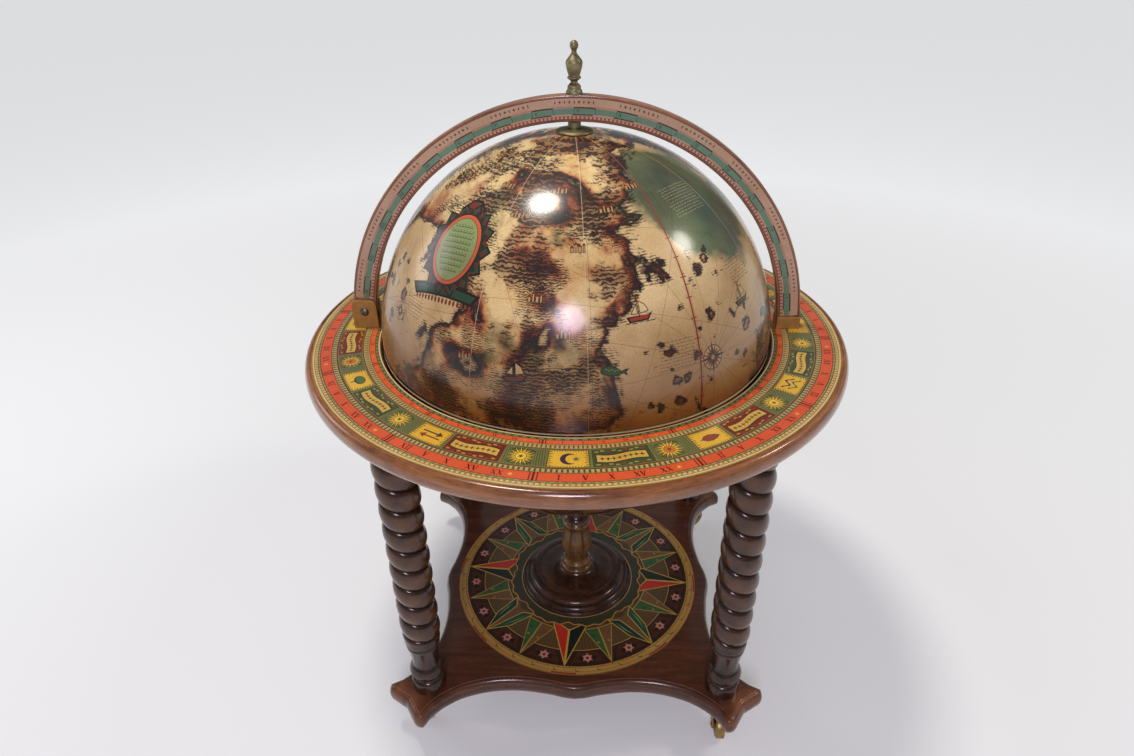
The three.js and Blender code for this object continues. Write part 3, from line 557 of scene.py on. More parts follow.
    def lines(self, add: Adder, unit: Node, colour: Node) -> Node:
        """Rule thin lines from the wind roses, and the pale joints of the twelve gores.

        Args:
            add: Adds a node.
            unit: Direction from the globe's middle.
            colour: Colour so far.

        Returns:
            Node of the colour.
        """
        eighths = [step * pi / 8 for step in range(8)]
        ways = [tangents(*rose)[1:] for rose in self.roses]
        rhumbs = [east * cos(turn) + north * sin(turn) for east, north in ways for turn in eighths]
        joints = [tangents(step * 30 + 4, 90)[1] for step in range(6)]
        for planes, half, ink, strength in ((rhumbs, 0.0011, "#4A2C1A", 0.75), (joints, 0.0016, "#E8D6AE", 0.6)):
            nearest = 1.0
            for plane in planes:
                nearest = add(LEAST, add(ABSOLUTE, add(DOT, unit, plane)), nearest)
            line = add(RANGE, nearest, half, half * 0.4, To_Max=strength)
            colour = add(BLEND, line, A=colour, B=linear(ink))
        return colour


def put(name: str, data: bpy.types.ID) -> bpy.types.Object:
    """Put a mesh, lamp or camera in the scene.

    Args:
        name: Its name.
        data: Its data.

    Returns:
        The object.
    """
    thing = bpy.data.objects.new(name, data)
    bpy.context.scene.collection.objects.link(thing)
    return thing


@dataclass
class Shape:
    """A mesh in millimetres, with wear at each point, and for each face its ink and which finish it takes."""

    points: np.ndarray
    faces: Faces
    wear: np.ndarray | None = None
    inks: list[Colour] = field(default_factory=list)
    marks: list[int] = field(default_factory=list)

    def moved(self, x: float = 0.0, y: float = 0.0, z: float = 0.0, turn: Matrix | None = None) -> "Shape":
        """Turn the shape about the origin, move it, and give it as a new one."""
        points = self.points @ np.array(turn).T if turn is not None else self.points
        return replace(self, points=points + np.array((x, y, z)))

    def joined(self, *others: "Shape") -> "Shape":
        """Put other shapes into the same mesh.

        Args:
            *others: The shapes.

        Returns:
            A shape that holds them all.
        """
        parts = [self, *others]
        faces = []
        inks = []
        marks = []
        start = 0
        for part in parts:
            faces.extend(tuple(index + start for index in face) for face in part.faces)
            inks.extend(part.inks or [linear("")] * len(part.faces))
            marks.extend(part.marks or [0] * len(part.faces))
            start += len(part.points)
        wears = [part.wear if part.wear is not None else np.full(len(part.points), 0.5) for part in parts]
        inks = inks if any(part.inks for part in parts) else []
        return Shape(np.vstack([part.points for part in parts]), faces, np.concatenate(wears), inks, marks)

    def welded(self, distance: float = 0.02) -> "Shape":
        """Merge points that lie together.

        Args:
            distance: Distance within which points are one.

        Returns:
            A shape without doubles.
        """
        mesh = bpy.data.meshes.new("weld")
        mesh.from_pydata(self.points.tolist(), [], self.faces)
        work = bmesh.new()
        work.from_mesh(mesh)
        bpy.data.meshes.remove(mesh)
        row = work.faces.layers.int.new("row")
        wear = work.verts.layers.float.new("worn")
        for number, face in enumerate(work.faces):
            face[row] = number
        if self.wear is not None:
            for vertex, value in zip(work.verts, self.wear):
                vertex[wear] = value
        bmesh.ops.remove_doubles(work, verts=work.verts, dist=distance)
        work.verts.index_update()
        rows = [face[row] for face in work.faces]
        shape = Shape(
            np.array([vertex.co for vertex in work.verts]),
            [tuple(vertex.index for vertex in face.verts) for face in work.faces],
            np.array([vertex[wear] for vertex in work.verts]) if self.wear is not None else None,
            [self.inks[number] for number in rows] if self.inks else [],
            [self.marks[number] for number in rows] if self.marks else [],
        )
        work.free()
        return shape


def softened(profile: Profile) -> Profile:
    """Round the corners of a profile in two passes, but not at a repeated point.

    Args:
        profile: Its points.

    Returns:
        The rounded profile, between the same ends.
    """
    points = np.array(profile, float)
    for _ in range(2):
        near = points[:-1] * 0.75 + points[1:] * 0.25
        far = points[:-1] * 0.25 + points[1:] * 0.75
        points = np.vstack((points[:1], np.stack((near, far), 1).reshape(-1, 2), points[-1:]))
    kept = [points[0]]
    for point in points[1:]:
        if np.linalg.norm(point - kept[-1]) > 0.02:
            kept.append(point)
    return [tuple(point) for point in kept]


def scaled(shares: Iterable[Point], radius: float, height: float) -> Profile:
    """Turn shares of a radius and a height into millimetres."""
    return [(across * radius, up * height) for across, up in shares]


def arc(x: float, y: float, radius: float, start: float, end: float, steps: int) -> Profile:
    """Points along an arc between two angles in radians, both ends included."""
    angles = np.linspace(start, end, steps + 1)
    return [(x + radius * cos(angle), y + radius * sin(angle)) for angle in angles]


def eased(ease: Profile, foot: float, top: float) -> Profile:
    """Levels of a plate's edge between two heights, eased the same below and above."""
    return [(across, foot + up) for across, up in ease] + [(across, top - up) for across, up in ease[::-1]]


def polar(places: Iterable[Point], angle: float = 0.0) -> Profile:
    """Turn radii, and degrees past an angle, into a polygon."""
    turns = [(radius, radians(angle + lean)) for radius, lean in places]
    return [(radius * cos(turn), radius * sin(turn)) for radius, turn in turns]


def catmull_rom(knots: np.ndarray, steps: int) -> Profile:
    """Points of a smooth curve through knots.

    Args:
        knots: Points that it passes through.
        steps: Number of its steps.

    Returns:
        The points, both ends included.
    """
    last = len(knots) - 1
    points = []
    for step in range(steps + 1):
        place = last * step / steps
        index = min(int(place), last - 1)
        t = place - index
        before, start, end, after = (knots[min(max(index + shift, 0), last)] for shift in (-1, 0, 1, 2))
        slope_in, slope_out = (end - before) / 2, (after - start) / 2
        cubic = (2 * start - 2 * end + slope_in + slope_out) * t**3
        square = (3 * end - 3 * start - 2 * slope_in - slope_out) * t**2
        points.append(tuple(cubic + square + slope_in * t + start))
    return points


def turned(profile: Profile, sides: int = 96, closed: bool = True) -> Shape:
    """Turn a profile of radius and height about Z.

    Args:
        profile: Its points, of which those on the axis become poles.
        sides: Number of flat sides.
        closed: Whether the last point joins the first.

    Returns:
        The shape, with more wear on beads than in coves.
    """
    radii = np.array([radius for radius, _ in profile])
    window = 9 if len(radii) > 12 else 1
    smooth = np.convolve(np.pad(radii, window // 2, mode="edge"), np.ones(window) / window, "valid")
    wear = np.clip(0.5 + (radii - smooth) * 0.22, 0, 1)
    angles = np.arange(sides) * tau / sides
    points, wears, rows = [], [], []
    for (radius, height), worn in zip(profile, wear):
        ring = angles if radius > 1e-6 else angles[:1]
        rows.append([len(points) + side % len(ring) for side in range(sides)])
        points += [(radius * cos(angle), radius * sin(angle), height) for angle in ring]
        wears += [worn] * len(ring)
    pairs = list(zip(rows[:-1], rows[1:]))
    if closed and radii[0] > 1e-6 and radii[-1] > 1e-6:
        pairs.append((rows[-1], rows[0]))
    faces = []
    for low, high in pairs:
        for side in range(sides):
            after = (side + 1) % sides
            face = tuple(dict.fromkeys((low[side], low[after], high[after], high[side])))
            if len(face) > 2:
                faces.append(face)
    return Shape(np.array(points), faces, np.array(wears))


def bored(shares: Profile, radius: float, height: float, bore: float, sides: int = 96) -> Shape:
    """Turn a block that is bored for the tie rod."""
    return turned([(bore, 0), *softened(scaled(shares, radius, height)), (bore, height)], sides)


def filled(outline: np.ndarray, holes: Sequence[np.ndarray] = ()) -> Faces:
    """Cut a flat outline into triangles.

    Args:
        outline: Its corners, counter-clockwise.
        holes: Corners of each hole in it.

    Returns:
        Triangles by the numbers of the corners, the outline's first.
    """
    loops = [outline, *holes]
    starts = np.cumsum([0] + [len(loop) for loop in loops])
    corners = [Vector(point) for loop in loops for point in loop]
    rings = [list(range(start, end)) for start, end in zip(starts[:-1], starts[1:])]
    _, _, triangles, source, _, origins = delaunay_2d_cdt(corners, [], rings, 1, 1e-6, True)
    inside = [triangle for triangle, origin in zip(triangles, origins) if list(origin) == [0]]
    return [tuple(source[index][0] for index in triangle) for triangle in inside]


def untangled(ring: np.ndarray) -> np.ndarray:
    """Pull loops of an inset outline, up to 14 points long, into the points where they cross.

    Args:
        ring: Points of the outline.

    Returns:
        As many points, with those of a loop in one place.
    """
    points = ring.copy()
    count = len(points)
    for first in range(count):
        start, along = points[first], points[(first + 1) % count] - points[first]
        for span in range(14, 1, -1):
            other = points[(first + span) % count]
            side = points[(first + span + 1) % count] - other
            turn = along[0] * side[1] - along[1] * side[0]
            if abs(turn) < 1e-9:
                continue
            gap = other - start
            here = (gap[0] * side[1] - gap[1] * side[0]) / turn
            there = (gap[0] * along[1] - gap[1] * along[0]) / turn
            if 0 < here < 1 and 0 < there < 1:
                for place in range(1, span + 1):
                    points[(first + place) % count] = start + along * here
                break
    return points


def slab(
    outline: Profile, levels: Profile, holes: Sequence[Profile] = (), wells: Sequence[Profile] = (),
    depth: float = 0.0,
) -> Shape:
    """Build a plate whose edge follows levels of inset and height.

    Args:
        outline: Its outline, counter-clockwise.
        levels: Inset and height, from the bottom up.
        holes: Outlines of holes through it, counter-clockwise.
        wells: Outlines of blind holes in its top.
        depth: Their depth.

    Returns:
        The plate, whose flat faces have a narrow border so that they shade flat.
    """
    base = np.array(outline)
    along = np.roll(base, -1, 0) - np.roll(base, 1, 0)
    along /= np.linalg.norm(along, axis=1)[:, None]
    out = np.stack((along[:, 1], -along[:, 0]), 1)
    first, last = levels[0], levels[-1]
    levels = [(first[0] + 0.8, first[1]), *levels, (last[0] + 0.8, last[1])]
    count = len(base)
    rings = [(untangled(base - out * inset), height) for inset, height in levels]
    rows = [np.column_stack((ring, np.full(len(ring), height))) for ring, height in rings]
    faces = []

    def wall(low: int, high: int, size: int) -> None:
        """Join two rings of points."""
        for place in range(size):
            after = (place + 1) % size
            faces.append((low + place, low + after, high + after, high + place))

    for level in range(len(levels) - 1):
        wall(level * count, (level + 1) * count, count)
    cuts = [np.array(cut) for cut in (*holes, *wells)]
    starts = np.cumsum([count * len(levels)] + [2 * len(cut) for cut in cuts])[:-1]
    for number, (cut, start) in enumerate(zip(cuts, starts)):
        size = len(cut)
        blind = number >= len(holes)
        for height in (last[1] - depth if blind else first[1], last[1]):
            rows.append(np.column_stack((cut, np.full(size, height))))
        wall(start, start + size, size)
        if blind:
            faces += [tuple(start + index for index in triangle) for triangle in filled(cut)]
    for lift, base_row, opened in ((0, 0, len(holes)), (1, count * (len(levels) - 1), len(cuts))):
        numbers = list(range(base_row, base_row + count))
        for cut, start in zip(cuts[:opened], starts):
            numbers += range(start + lift * len(cut), start + (lift + 1) * len(cut))
        flat = rings[-lift][0]
        faces += [tuple(numbers[index] for index in triangle) for triangle in filled(flat, cuts[:opened])]
    return Shape(np.vstack(rows), faces).welded(0.001)


def inset(corners: Sequence[Point], distance: float) -> np.ndarray:
    """Draw a polygon's sides inwards.

    Args:
        corners: Its corners in order.
        distance: How far each side moves.

    Returns:
        The smaller polygon, counter-clockwise.
    """
    points = np.array(corners, float)
    after = np.roll(points, -1, 0)
    if (points[:, 0] * after[:, 1] - after[:, 0] * points[:, 1]).sum() < 0:
        points = points[::-1]
        after = np.roll(points, -1, 0)
    along = (after - points) / np.linalg.norm(after - points, axis=1)[:, None]
    normal = np.stack((-along[:, 1], along[:, 0]), 1)
    before, normal_before = np.roll(along, 1, 0), np.roll(normal, 1, 0)
    turn = before[:, 0] * along[:, 1] - before[:, 1] * along[:, 0]
    gap = (normal - normal_before) * distance
    slide = (gap[:, 0] * along[:, 1] - gap[:, 1] * along[:, 0]) / np.where(np.abs(turn) < 1e-6, np.inf, turn)
    return points + normal_before * distance + before * slide[:, None]


def star(rays: int, outer: float, inner: float, turn: float = 90.0) -> np.ndarray:
    """Corners of a star.

    Args:
        rays: Number of its points.
        outer: Radius at them.
        inner: Radius between them.
        turn: Angle of the first one in degrees.

    Returns:
        The corners.
    """
    angles = np.radians(turn) + np.arange(2 * rays) * pi / rays
    radii = np.where(np.arange(2 * rays) % 2 == 0, outer, inner)
    return np.stack((radii * np.cos(angles), radii * np.sin(angles)), 1)


def oval(x: float, y: float, width: float, height: float, sides: int = 16) -> np.ndarray:
    """Corners of an oval about x and y with these half sizes."""
    angles = np.arange(sides) * tau / sides
    return np.stack((x + width * np.cos(angles), y + height * np.sin(angles)), 1)


# Strokes of plain Roman numerals, for a height of one: width of the numeral, and its polygons.
ROMAN = {
    "I": (0.42, [
        [(-0.08, 0), (0.08, 0), (0.08, 1), (-0.08, 1)], [(-0.2, 0), (0.2, 0), (0.2, 0.1), (-0.2, 0.1)],
        [(-0.2, 0.9), (0.2, 0.9), (0.2, 1), (-0.2, 1)],
    ]),
    "V": (0.76, [[(-0.38, 1), (-0.14, 1), (0.04, 0.3), (0.24, 1), (0.36, 1), (0.06, 0), (-0.06, 0)]]),
    "X": (0.8, [
        [(-0.38, 1), (-0.16, 1), (0.38, 0), (0.16, 0)], [(-0.34, 0), (-0.24, 0), (0.34, 1), (0.24, 1)],
    ]),
}


def numeral(text: str, height: float) -> list[np.ndarray]:
    """Polygons of a Roman numeral about the origin.

    Args:
        text: Letters I, V and X.
        height: Their height.

    Returns:
        The polygons.
    """
    widths = [ROMAN[letter][0] for letter in text]
    place = -sum(widths) / 2
    polygons = []
    for letter, width in zip(text, widths):
        shift = np.array((place + width / 2, -0.5))
        polygons += [(np.array(polygon) + shift) * height for polygon in ROMAN[letter][1]]
        place += width
    return polygons


def rule(name: str, inputs: Values) -> tuple[Tree, Adder, object]:
    """Start a tree of geometry nodes.

    Args:
        name: Its name.
        inputs: For each input its default number, or the kind of its socket.

    Returns:
        The tree, what adds a node to it, and the sockets of its inputs.
    """
    tree = bpy.data.node_groups.new(name, "GeometryNodeTree")
    tree.interface.new_socket(name="Geometry", in_out="OUTPUT", socket_type="NodeSocketGeometry")
    for title, value in inputs.items():
        kind = value if isinstance(value, str) else {int: "Int", float: "Float"}[type(value)]
        socket = tree.interface.new_socket(name=title, in_out="INPUT", socket_type=f"NodeSocket{kind}")
        if value != kind:
            socket.default_value = value
    add = partial(new_node, tree)
    return tree, add, add("NodeGroupInput").outputs


def finished(add: Adder, mesh: object, material: object) -> None:
    """End a tree of geometry nodes with a real mesh in its material."""
    real = add("GeometryNodeRealizeInstances", mesh)
    add("NodeGroupOutput", add("GeometryNodeSetMaterial", real, Material=material))


def grown(tree: Tree, values: Values, blank: Shape | None = None) -> Shape:
    """Run a tree of geometry nodes and read its mesh back.

    Args:
        tree: The tree, which stores how worn each point is.
        values: Its inputs by name.
        blank: Shape that it starts from.

    Returns:
        The grown shape.
    """
    mesh = bpy.data.meshes.new("blank")
    if blank is not None:
        mesh.from_pydata((blank.points * MM).tolist(), [], blank.faces)
    holder = put("holder", mesh)
    modifier = holder.modifiers.new("rule", "NODES")
    modifier.node_group = tree
    inputs = {item.name: item.identifier for item in tree.interface.items_tree if item.in_out == "INPUT"}
    for name, value in values.items():
        modifier[inputs[name]] = value
    result = bpy.data.meshes.new_from_object(holder.evaluated_get(bpy.context.evaluated_depsgraph_get()))
    holder.modifiers.remove(modifier)
    points = np.array([vertex.co for vertex in result.vertices]) / MM
    wear = np.zeros(len(points), np.float32)
    result.attributes["wear"].data.foreach_get("value", wear)
    bpy.data.objects.remove(holder)
    return Shape(points, [tuple(face.vertices) for face in result.polygons], wear)


@dataclass
class Artwork:
    """Flat coloured shapes in millimetres, each printed over those before it."""

    paper: str
    outlines: list[np.ndarray] = field(default_factory=list)
    inks: list[str | None] = field(default_factory=list)

    def paint(self, outline: Outline, ink: str | None) -> None:
        """Print a shape over the others.

        Args:
            outline: Its corners in order.
            ink: Its colour, or nothing where the sheet is cut away.
        """
        points = np.array(outline, float)
        after = np.roll(points, -1, 0)
        area = (points[:, 0] * after[:, 1] - after[:, 0] * points[:, 1]).sum()
        self.outlines.append(points if area > 0 else points[::-1])
        self.inks.append(ink)

    def disc(self, radius: float, ink: str | None, sides: int = 360) -> None:
        """Print a round shape about the origin, or cut a hole."""
        self.paint(arc(0, 0, radius, 0, tau, sides)[:-1], ink)

    def sector(self, inside: float, outside: float, first: float, last: float, ink: str) -> None:
        """Print a curved band.

        Args:
            inside: Its inner radius.
            outside: Its outer radius.
            first: First angle in degrees.
            last: Last angle.
            ink: Its colour.
        """
        start, end = radians(first), radians(last)
        steps = max(1, round(abs(last - first) / 1.5))
        self.paint(arc(0, 0, outside, start, end, steps) + arc(0, 0, inside, end, start, steps), ink)

    def ticks(
        self, inside: float, outside: float, places: Iterable[float], width: float, ink: str, skew: float = 0.0
    ) -> None:
        """Print short radial strokes.

        Args:
            inside: Their inner radius.
            outside: Their outer radius.
            places: Their angles in degrees.
            width: Their width in degrees.
            ink: Their colour.
            skew: Lean of the outer end in degrees.
        """
        for place in places:
            left, right = place - width / 2, place + width / 2
            self.paint(
                polar(((inside, left), (inside, right), (outside, right + skew), (outside, left + skew))), ink,
            )

    def stamp(self, parts: Parts, radius: float, angle: float) -> None:
        """Print a small picture whose top points to the middle.

        Args:
            parts: Its outlines and their inks.
            radius: Distance from the origin.
            angle: Its angle in degrees.
        """
        out = np.array((cos(radians(angle)), sin(radians(angle))))
        right = np.array((-out[1], out[0]))
        for outline, ink in parts:
            points = np.array(outline, float)
            self.paint(out * radius + points[:, :1] * right - points[:, 1:] * out, ink)

    def rimmed(self, corners: Profile, rim: str, width: float, ink: str) -> None:
        """Print a polygon with a rim of another colour."""
        self.paint(corners, rim)
        self.paint(inset(corners, width), ink)

    def cut(self, spare: Sequence[np.ndarray] = ()) -> tuple[np.ndarray, Faces, list[Colour]]:
        """Cut the artwork into triangles of one colour each.

        Args:
            spare: Lines that the triangles follow as well.

        Returns:
            Points, triangles and their inks.
        """
        corners = [Vector(point) for outline in [*self.outlines, *spare] for point in outline]
        starts = np.cumsum([0] + [len(outline) for outline in [*self.outlines, *spare]])
        spans = list(zip(starts[:-1], starts[1:]))
        loops = [list(range(start, end)) for start, end in spans[: len(self.outlines)]]
        open_spans = spans[len(self.outlines) :]
        edges = [(place, place + 1) for start, end in open_spans for place in range(start, end - 1)]
        flat, _, triangles, _, _, origins = delaunay_2d_cdt(corners, edges, loops, 1, 1e-4, True)
        faces = []
        inks = []
        for triangle, origin in zip(triangles, origins):
            ink = self.inks[max(origin)] if origin else None
            if ink is not None:
                faces.append(tuple(triangle))
                inks.append(linear(ink))
        used = sorted({index for face in faces for index in face})
        number = {index: place for place, index in enumerate(used)}
        faces = [tuple(number[index] for index in face) for face in faces]
        return np.array([flat[index] for index in used]), faces, inks

    def sheet(self, thickness: float) -> Shape:
        """Give the cut artwork its thickness.

        Args:
            thickness: Height of the sheet's top.

        Returns:
            The sheet, with an ink for every face.
        """
        flat, top_faces, inks = self.cut()
        count = len(flat)
        levels = (np.full(count, thickness), np.zeros(count))
        points = np.vstack([np.column_stack((flat, level)) for level in levels])
        bottom_faces = [tuple(index + count for index in reversed(face)) for face in top_faces]
        sides = {}
        for face in top_faces:
            for first, second in zip(face, face[1:] + face[:1]):
                if (second, first) in sides:
                    del sides[(second, first)]
                else:
                    sides[(first, second)] = (first, first + count, second + count, second)
        faces = top_faces + bottom_faces + list(sides.values())
        inks += [linear(self.paper)] * (len(faces) - len(inks))
        return Shape(points, faces, None, inks)


@dataclass
class Workshop:
    """Turns shapes into pieces of the object, and makes each material once."""

    nodes: dict[str, bpy.types.Object]
    materials: dict[str, Material] = field(default_factory=dict)

    def finish(self, finish: Finish) -> Material:
        """Give the material of a finish, made when it is first asked for.

        Args:
            finish: The finish.

        Returns:
            Its material.
        """
        if finish.name not in self.materials:
            self.materials[finish.name] = finish.make()
        return self.materials[finish.name]

    def place(
        self, name: str, shape: Shape, finishes: Finish | Sequence[Finish], nodes: Sequence[str],
        slot: str, body: str = "base", crease: float = 38.0, ball: float | None = None,
    ) -> bpy.types.Object:
        """Make a piece of the object that stands for CAD nodes.

        Args:
            name: Name of the piece.
            shape: Its mesh.
            finishes: Its finish, or one for each mark of its faces.
            body: CAD body that it moves with.
            nodes: CAD nodes that it replaces.
            slot: Material slot of the record; not used.
            crease: Angle above which an edge stays sharp.
            ball: Height of the middle of a ball that the first finish shades as.

        Returns:
            The object.
        """
        mesh = bpy.data.meshes.new(name)
        mesh.from_pydata((shape.points * MM).tolist(), [], shape.faces)
        wear = mesh.attributes.new("wear", "FLOAT", "POINT")
        values = shape.wear if shape.wear is not None else np.full(len(shape.points), 0.5)
        wear.data.foreach_set("value", values.astype(np.float32))
        if shape.marks:
            mesh.polygons.foreach_set("material_index", shape.marks)
        if shape.inks:
            ink = mesh.attributes.new("ink", "FLOAT_COLOR", "CORNER")
            corners = [shape.inks[face.index] for face in mesh.polygons for _ in face.loop_indices]
            ink.data.foreach_set("color", np.array(corners, np.float32).ravel())
        work = bmesh.new()
        work.from_mesh(mesh)
        bmesh.ops.recalc_face_normals(work, faces=work.faces)
        for face in work.faces:
            face.smooth = True
        limit = radians(crease)
        for edge in work.edges:
            edge.smooth = len(edge.link_faces) == 2 and edge.calc_face_angle(0.0) < limit
        work.to_mesh(mesh)
        work.free()
        if ball is not None:
            middle = Vector((0, 0, ball * MM))
            outward = [(vertex.co - middle).normalized() for vertex in mesh.vertices]
            inside = {vertex for face in mesh.polygons if face.material_index for vertex in face.vertices}
            normals = [(0, 0, 0) if vertex in inside else tuple(way) for vertex, way in enumerate(outward)]
            mesh.normals_split_custom_set([normals[loop.vertex_index] for loop in mesh.loops])
        for finish in finishes if isinstance(finishes, Sequence) else (finishes,):
            mesh.materials.append(self.finish(finish))
        piece = put(name, mesh)
        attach(piece, body)
        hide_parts(*nodes)
        log.info("%s: %d points, %d faces", name, len(mesh.vertices), len(mesh.polygons))
        return piece

    def dress(self, names: Iterable[str], finish: Finish) -> None:
        """Give CAD nodes that stay a finish.

        Args:
            names: Names of the nodes.
            finish: Their finish.
        """
        for name in names:
            data = self.nodes[name].data
            data.materials.clear()
            data.materials.append(self.finish(finish))
            log.info("%s: dressed as it is", name)


RING_WOOD = LacqueredWood(
    "stained_beech_ring", "#55301C", "#87532F", "#A36C42", "#B47C4A", Grain.ROUND_Z, 0.0, 0.3, 0.24, 1.0,
)
ARCH_WOOD = LacqueredWood(
    "stained_beech_arch", "#5E3826", "#906044", "#A87654", "#B8845C", Grain.ROUND_Y, GLOBE_CENTRE * MM, 0.27,
)
DARK_WOOD = LacqueredWood("dark_stained_turning", "#1A0D08", "#321C11", "#442717", "#6A4124", Grain.ALONG_Z)
SHELF_WOOD = LacqueredWood("dark_stained_board", "#3E2418", "#54301F", "#683C28", "#9A5E38", Grain.ALONG_X)
BALUSTER_WOOD = LacqueredWood("honey_stained_turning", "#36220F", "#62421F", "#7A5630", "#94703A", Grain.ALONG_Z)
INSERT_WOOD = LacqueredWood("walnut_insert_board", "#2E1B10", "#553520", "#6E4729", "#7F5836", Grain.ALONG_X)
SHEET_PRINT = VarnishedPrint("varnished_print")
MAP_LACQUER = MapLacquer("lacquered_map_gores")
SHELL_PAINT = PaintedShell("sprayed_shell_lining", "#C9B48C", "#B49C70")
AGED_BRASS = OldMetal("antiqued_cast_brass", "#928868", "#4E4630", 0.48)
BRACKET_BRASS = OldMetal("lacquered_sheet_brass", "#BE9250", "#96703A", 0.5, 0.5)
CASTER_BRASS = OldMetal("handled_turned_brass", "#A88C5A", "#4C3C26", 0.38)
SCREW_STEEL = OldMetal("oiled_turned_steel", "#7A756C", "#2E2A26", 0.4)

UPRIGHT = Matrix.Rotation(pi / 2, 3, "X")
CORNERS = {"front_left": (-1, -1), "front_right": (1, -1), "back_right": (1, 1), "back_left": (-1, 1)}


@dataclass
class GlobeHalf:
    """One half of the globe: a moulded shell whose outside carries the map, with small pictures on it."""

    side: int
    bore: float
    radius: float = GLOBE_RADIUS
    wall: float = 5.0
    split: float = 0.5
    rim_sides: int = 192
    ease: float = 0.6
    map_edge: int = 88
    grid: float = 2.5
    spokes: int = 96

    def on_map(self, outline: np.ndarray, lon: float, colatitude: float, turn: float = 0.0) -> np.ndarray:
        """Wrap a small flat picture round the globe.

        Args:
            outline: Corners, with the pole upwards.
            lon: Longitude of its middle in degrees.
            colatitude: Angle of its middle from the pole.
            turn: Lean to the left in degrees.

        Returns:
            Corners on the flat map, whose radius is the angle from the pole.
        """
        out, east, north = (np.array(direction) for direction in tangents(lon, colatitude))
        ahead, aside = cos(radians(turn)), sin(radians(turn))
        x = outline[:, :1] * ahead - outline[:, 1:] * aside
        y = outline[:, :1] * aside + outline[:, 1:] * ahead
        place = out * self.radius + east * x + north * y
        place /= np.linalg.norm(place, axis=1)[:, None]
        angle = np.degrees(np.arccos(place[:, 2]))
        turned_by = np.arctan2(place[:, 1], place[:, 0])
        return np.stack((angle * np.cos(turned_by), angle * np.sin(turned_by)), 1)

    def picture(self, art: Artwork, parts: Parts, lon: float, colatitude: float, turn: float = 0.0) -> None:
        """Print the parts of a small picture round a point of the globe."""
        for outline, ink in parts:
            art.paint(self.on_map(np.array(outline, float), lon, colatitude, turn), ink)

    def boat(self, hull: str, sail: str) -> Parts:
        """Draw a small fishing boat.

        Args:
            hull: Colour of its hull.
            sail: Colour of its sails.

        Returns:
            Its parts.
        """
        main, jib = [(1, 3), (11, 4.5), (8, 12), (1, 17)], [(-1, 3), (-9, 4), (-1, 14)]
        waves = [(oval(x, -5.4 + (x % 2) * 0.8, 3.4, 0.7, 8), "#4A5A48") for x in (-13, -6, 1, 8, 14)]
        return [
            ([(-14, 2), (-11, -4.5), (9, -4.5), (15, 3.5), (9, 1)], "#241711"),
            ([(-11, 0.4), (-9.6, -3), (8, -3), (11.4, 1.2)], hull),
            ([(-0.6, 0), (0.6, 0), (0.4, 20), (-0.4, 20)], "#241711"), (main, "#241711"), (inset(main, 0.8), sail),
            (jib, "#241711"), (inset(jib, 0.8), sail), ([(0.4, 20), (6, 18.6), (0.4, 17.4)], "#A8321E"), *waves,
        ]

    def whale(self) -> Parts:
        """Draw a whale.

        Returns:
            Its parts.
        """
        body = [(-13, 0), (-11, 4), (-5, 6.5), (3, 5), (9, 1.5), (13, 4), (17, 4.5), (14, 1), (16, -3), (11, -1),
                (4, -4), (-6, -4.5), (-12, -3)]
        scales = [(oval(x, 1 + (x % 2), 1.3, 1.0, 8), "#7E8A4A") for x in (-7, -4, -1, 2, 5)]
        spout = [
            [(-8, 6), (-9.5, 11), (-11.5, 10.5), (-9, 9), (-8.6, 6)], [(-7.4, 6), (-6, 11), (-4, 10), (-6.4, 9)],
        ]
        return [(body, "#1E2A20"), (inset(body, 0.9), "#3F6144"), *scales, *[(jet, "#30483A") for jet in spout]]

    def town(self, roof: str) -> Parts:
        """Draw a small walled town.

        Args:
            roof: Colour of its roofs.

        Returns:
            Its parts.
        """
        parts = []
        for x, width, height in ((-6, 3.4, 5), (-2, 2.6, 8.5), (2, 3.6, 6), (6, 2.6, 7.5)):
            low, high = x - width / 2, x + width / 2
            parts.append(([(low, 0), (high, 0), (high, height), (low, height)], "#2A1A12"))
            parts.append(
                ([(low + 0.6, 0.6), (high - 0.6, 0.6), (high - 0.6, height), (low + 0.6, height)], "#B8965E")
            )
            parts.append(([(low - 0.8, height), (high + 0.8, height), (x, height + 3.6)], roof))
        return parts

    def rose(self, size: float) -> Parts:
        """Draw a wind rose.

        Args:
            size: Its radius.

        Returns:
            Its parts.
        """
        return [
            (oval(0, 0, size * 0.8, size * 0.8, 32), "#3A2416"),
            (oval(0, 0, size * 0.74, size * 0.74, 32), "#D8BC84"), (star(16, size * 0.72, size * 0.4), "#5E4A2A"),
            (star(8, size, size * 0.24, 112.5), "#8E2E1C"), (star(4, size * 1.15, size * 0.2), "#2A3A2C"),
            (oval(0, 0, size * 0.16, size * 0.16, 12), "#C9A24E"),
        ]

    def artwork(self) -> Artwork:
        """Draw the pictures and lines of this half.

        Returns:
            The artwork, clear where the map's own washes show.
        """
        art = Artwork("")
        art.disc(90 - degrees(asin((self.split + self.ease) / self.radius)), "", self.rim_sides)
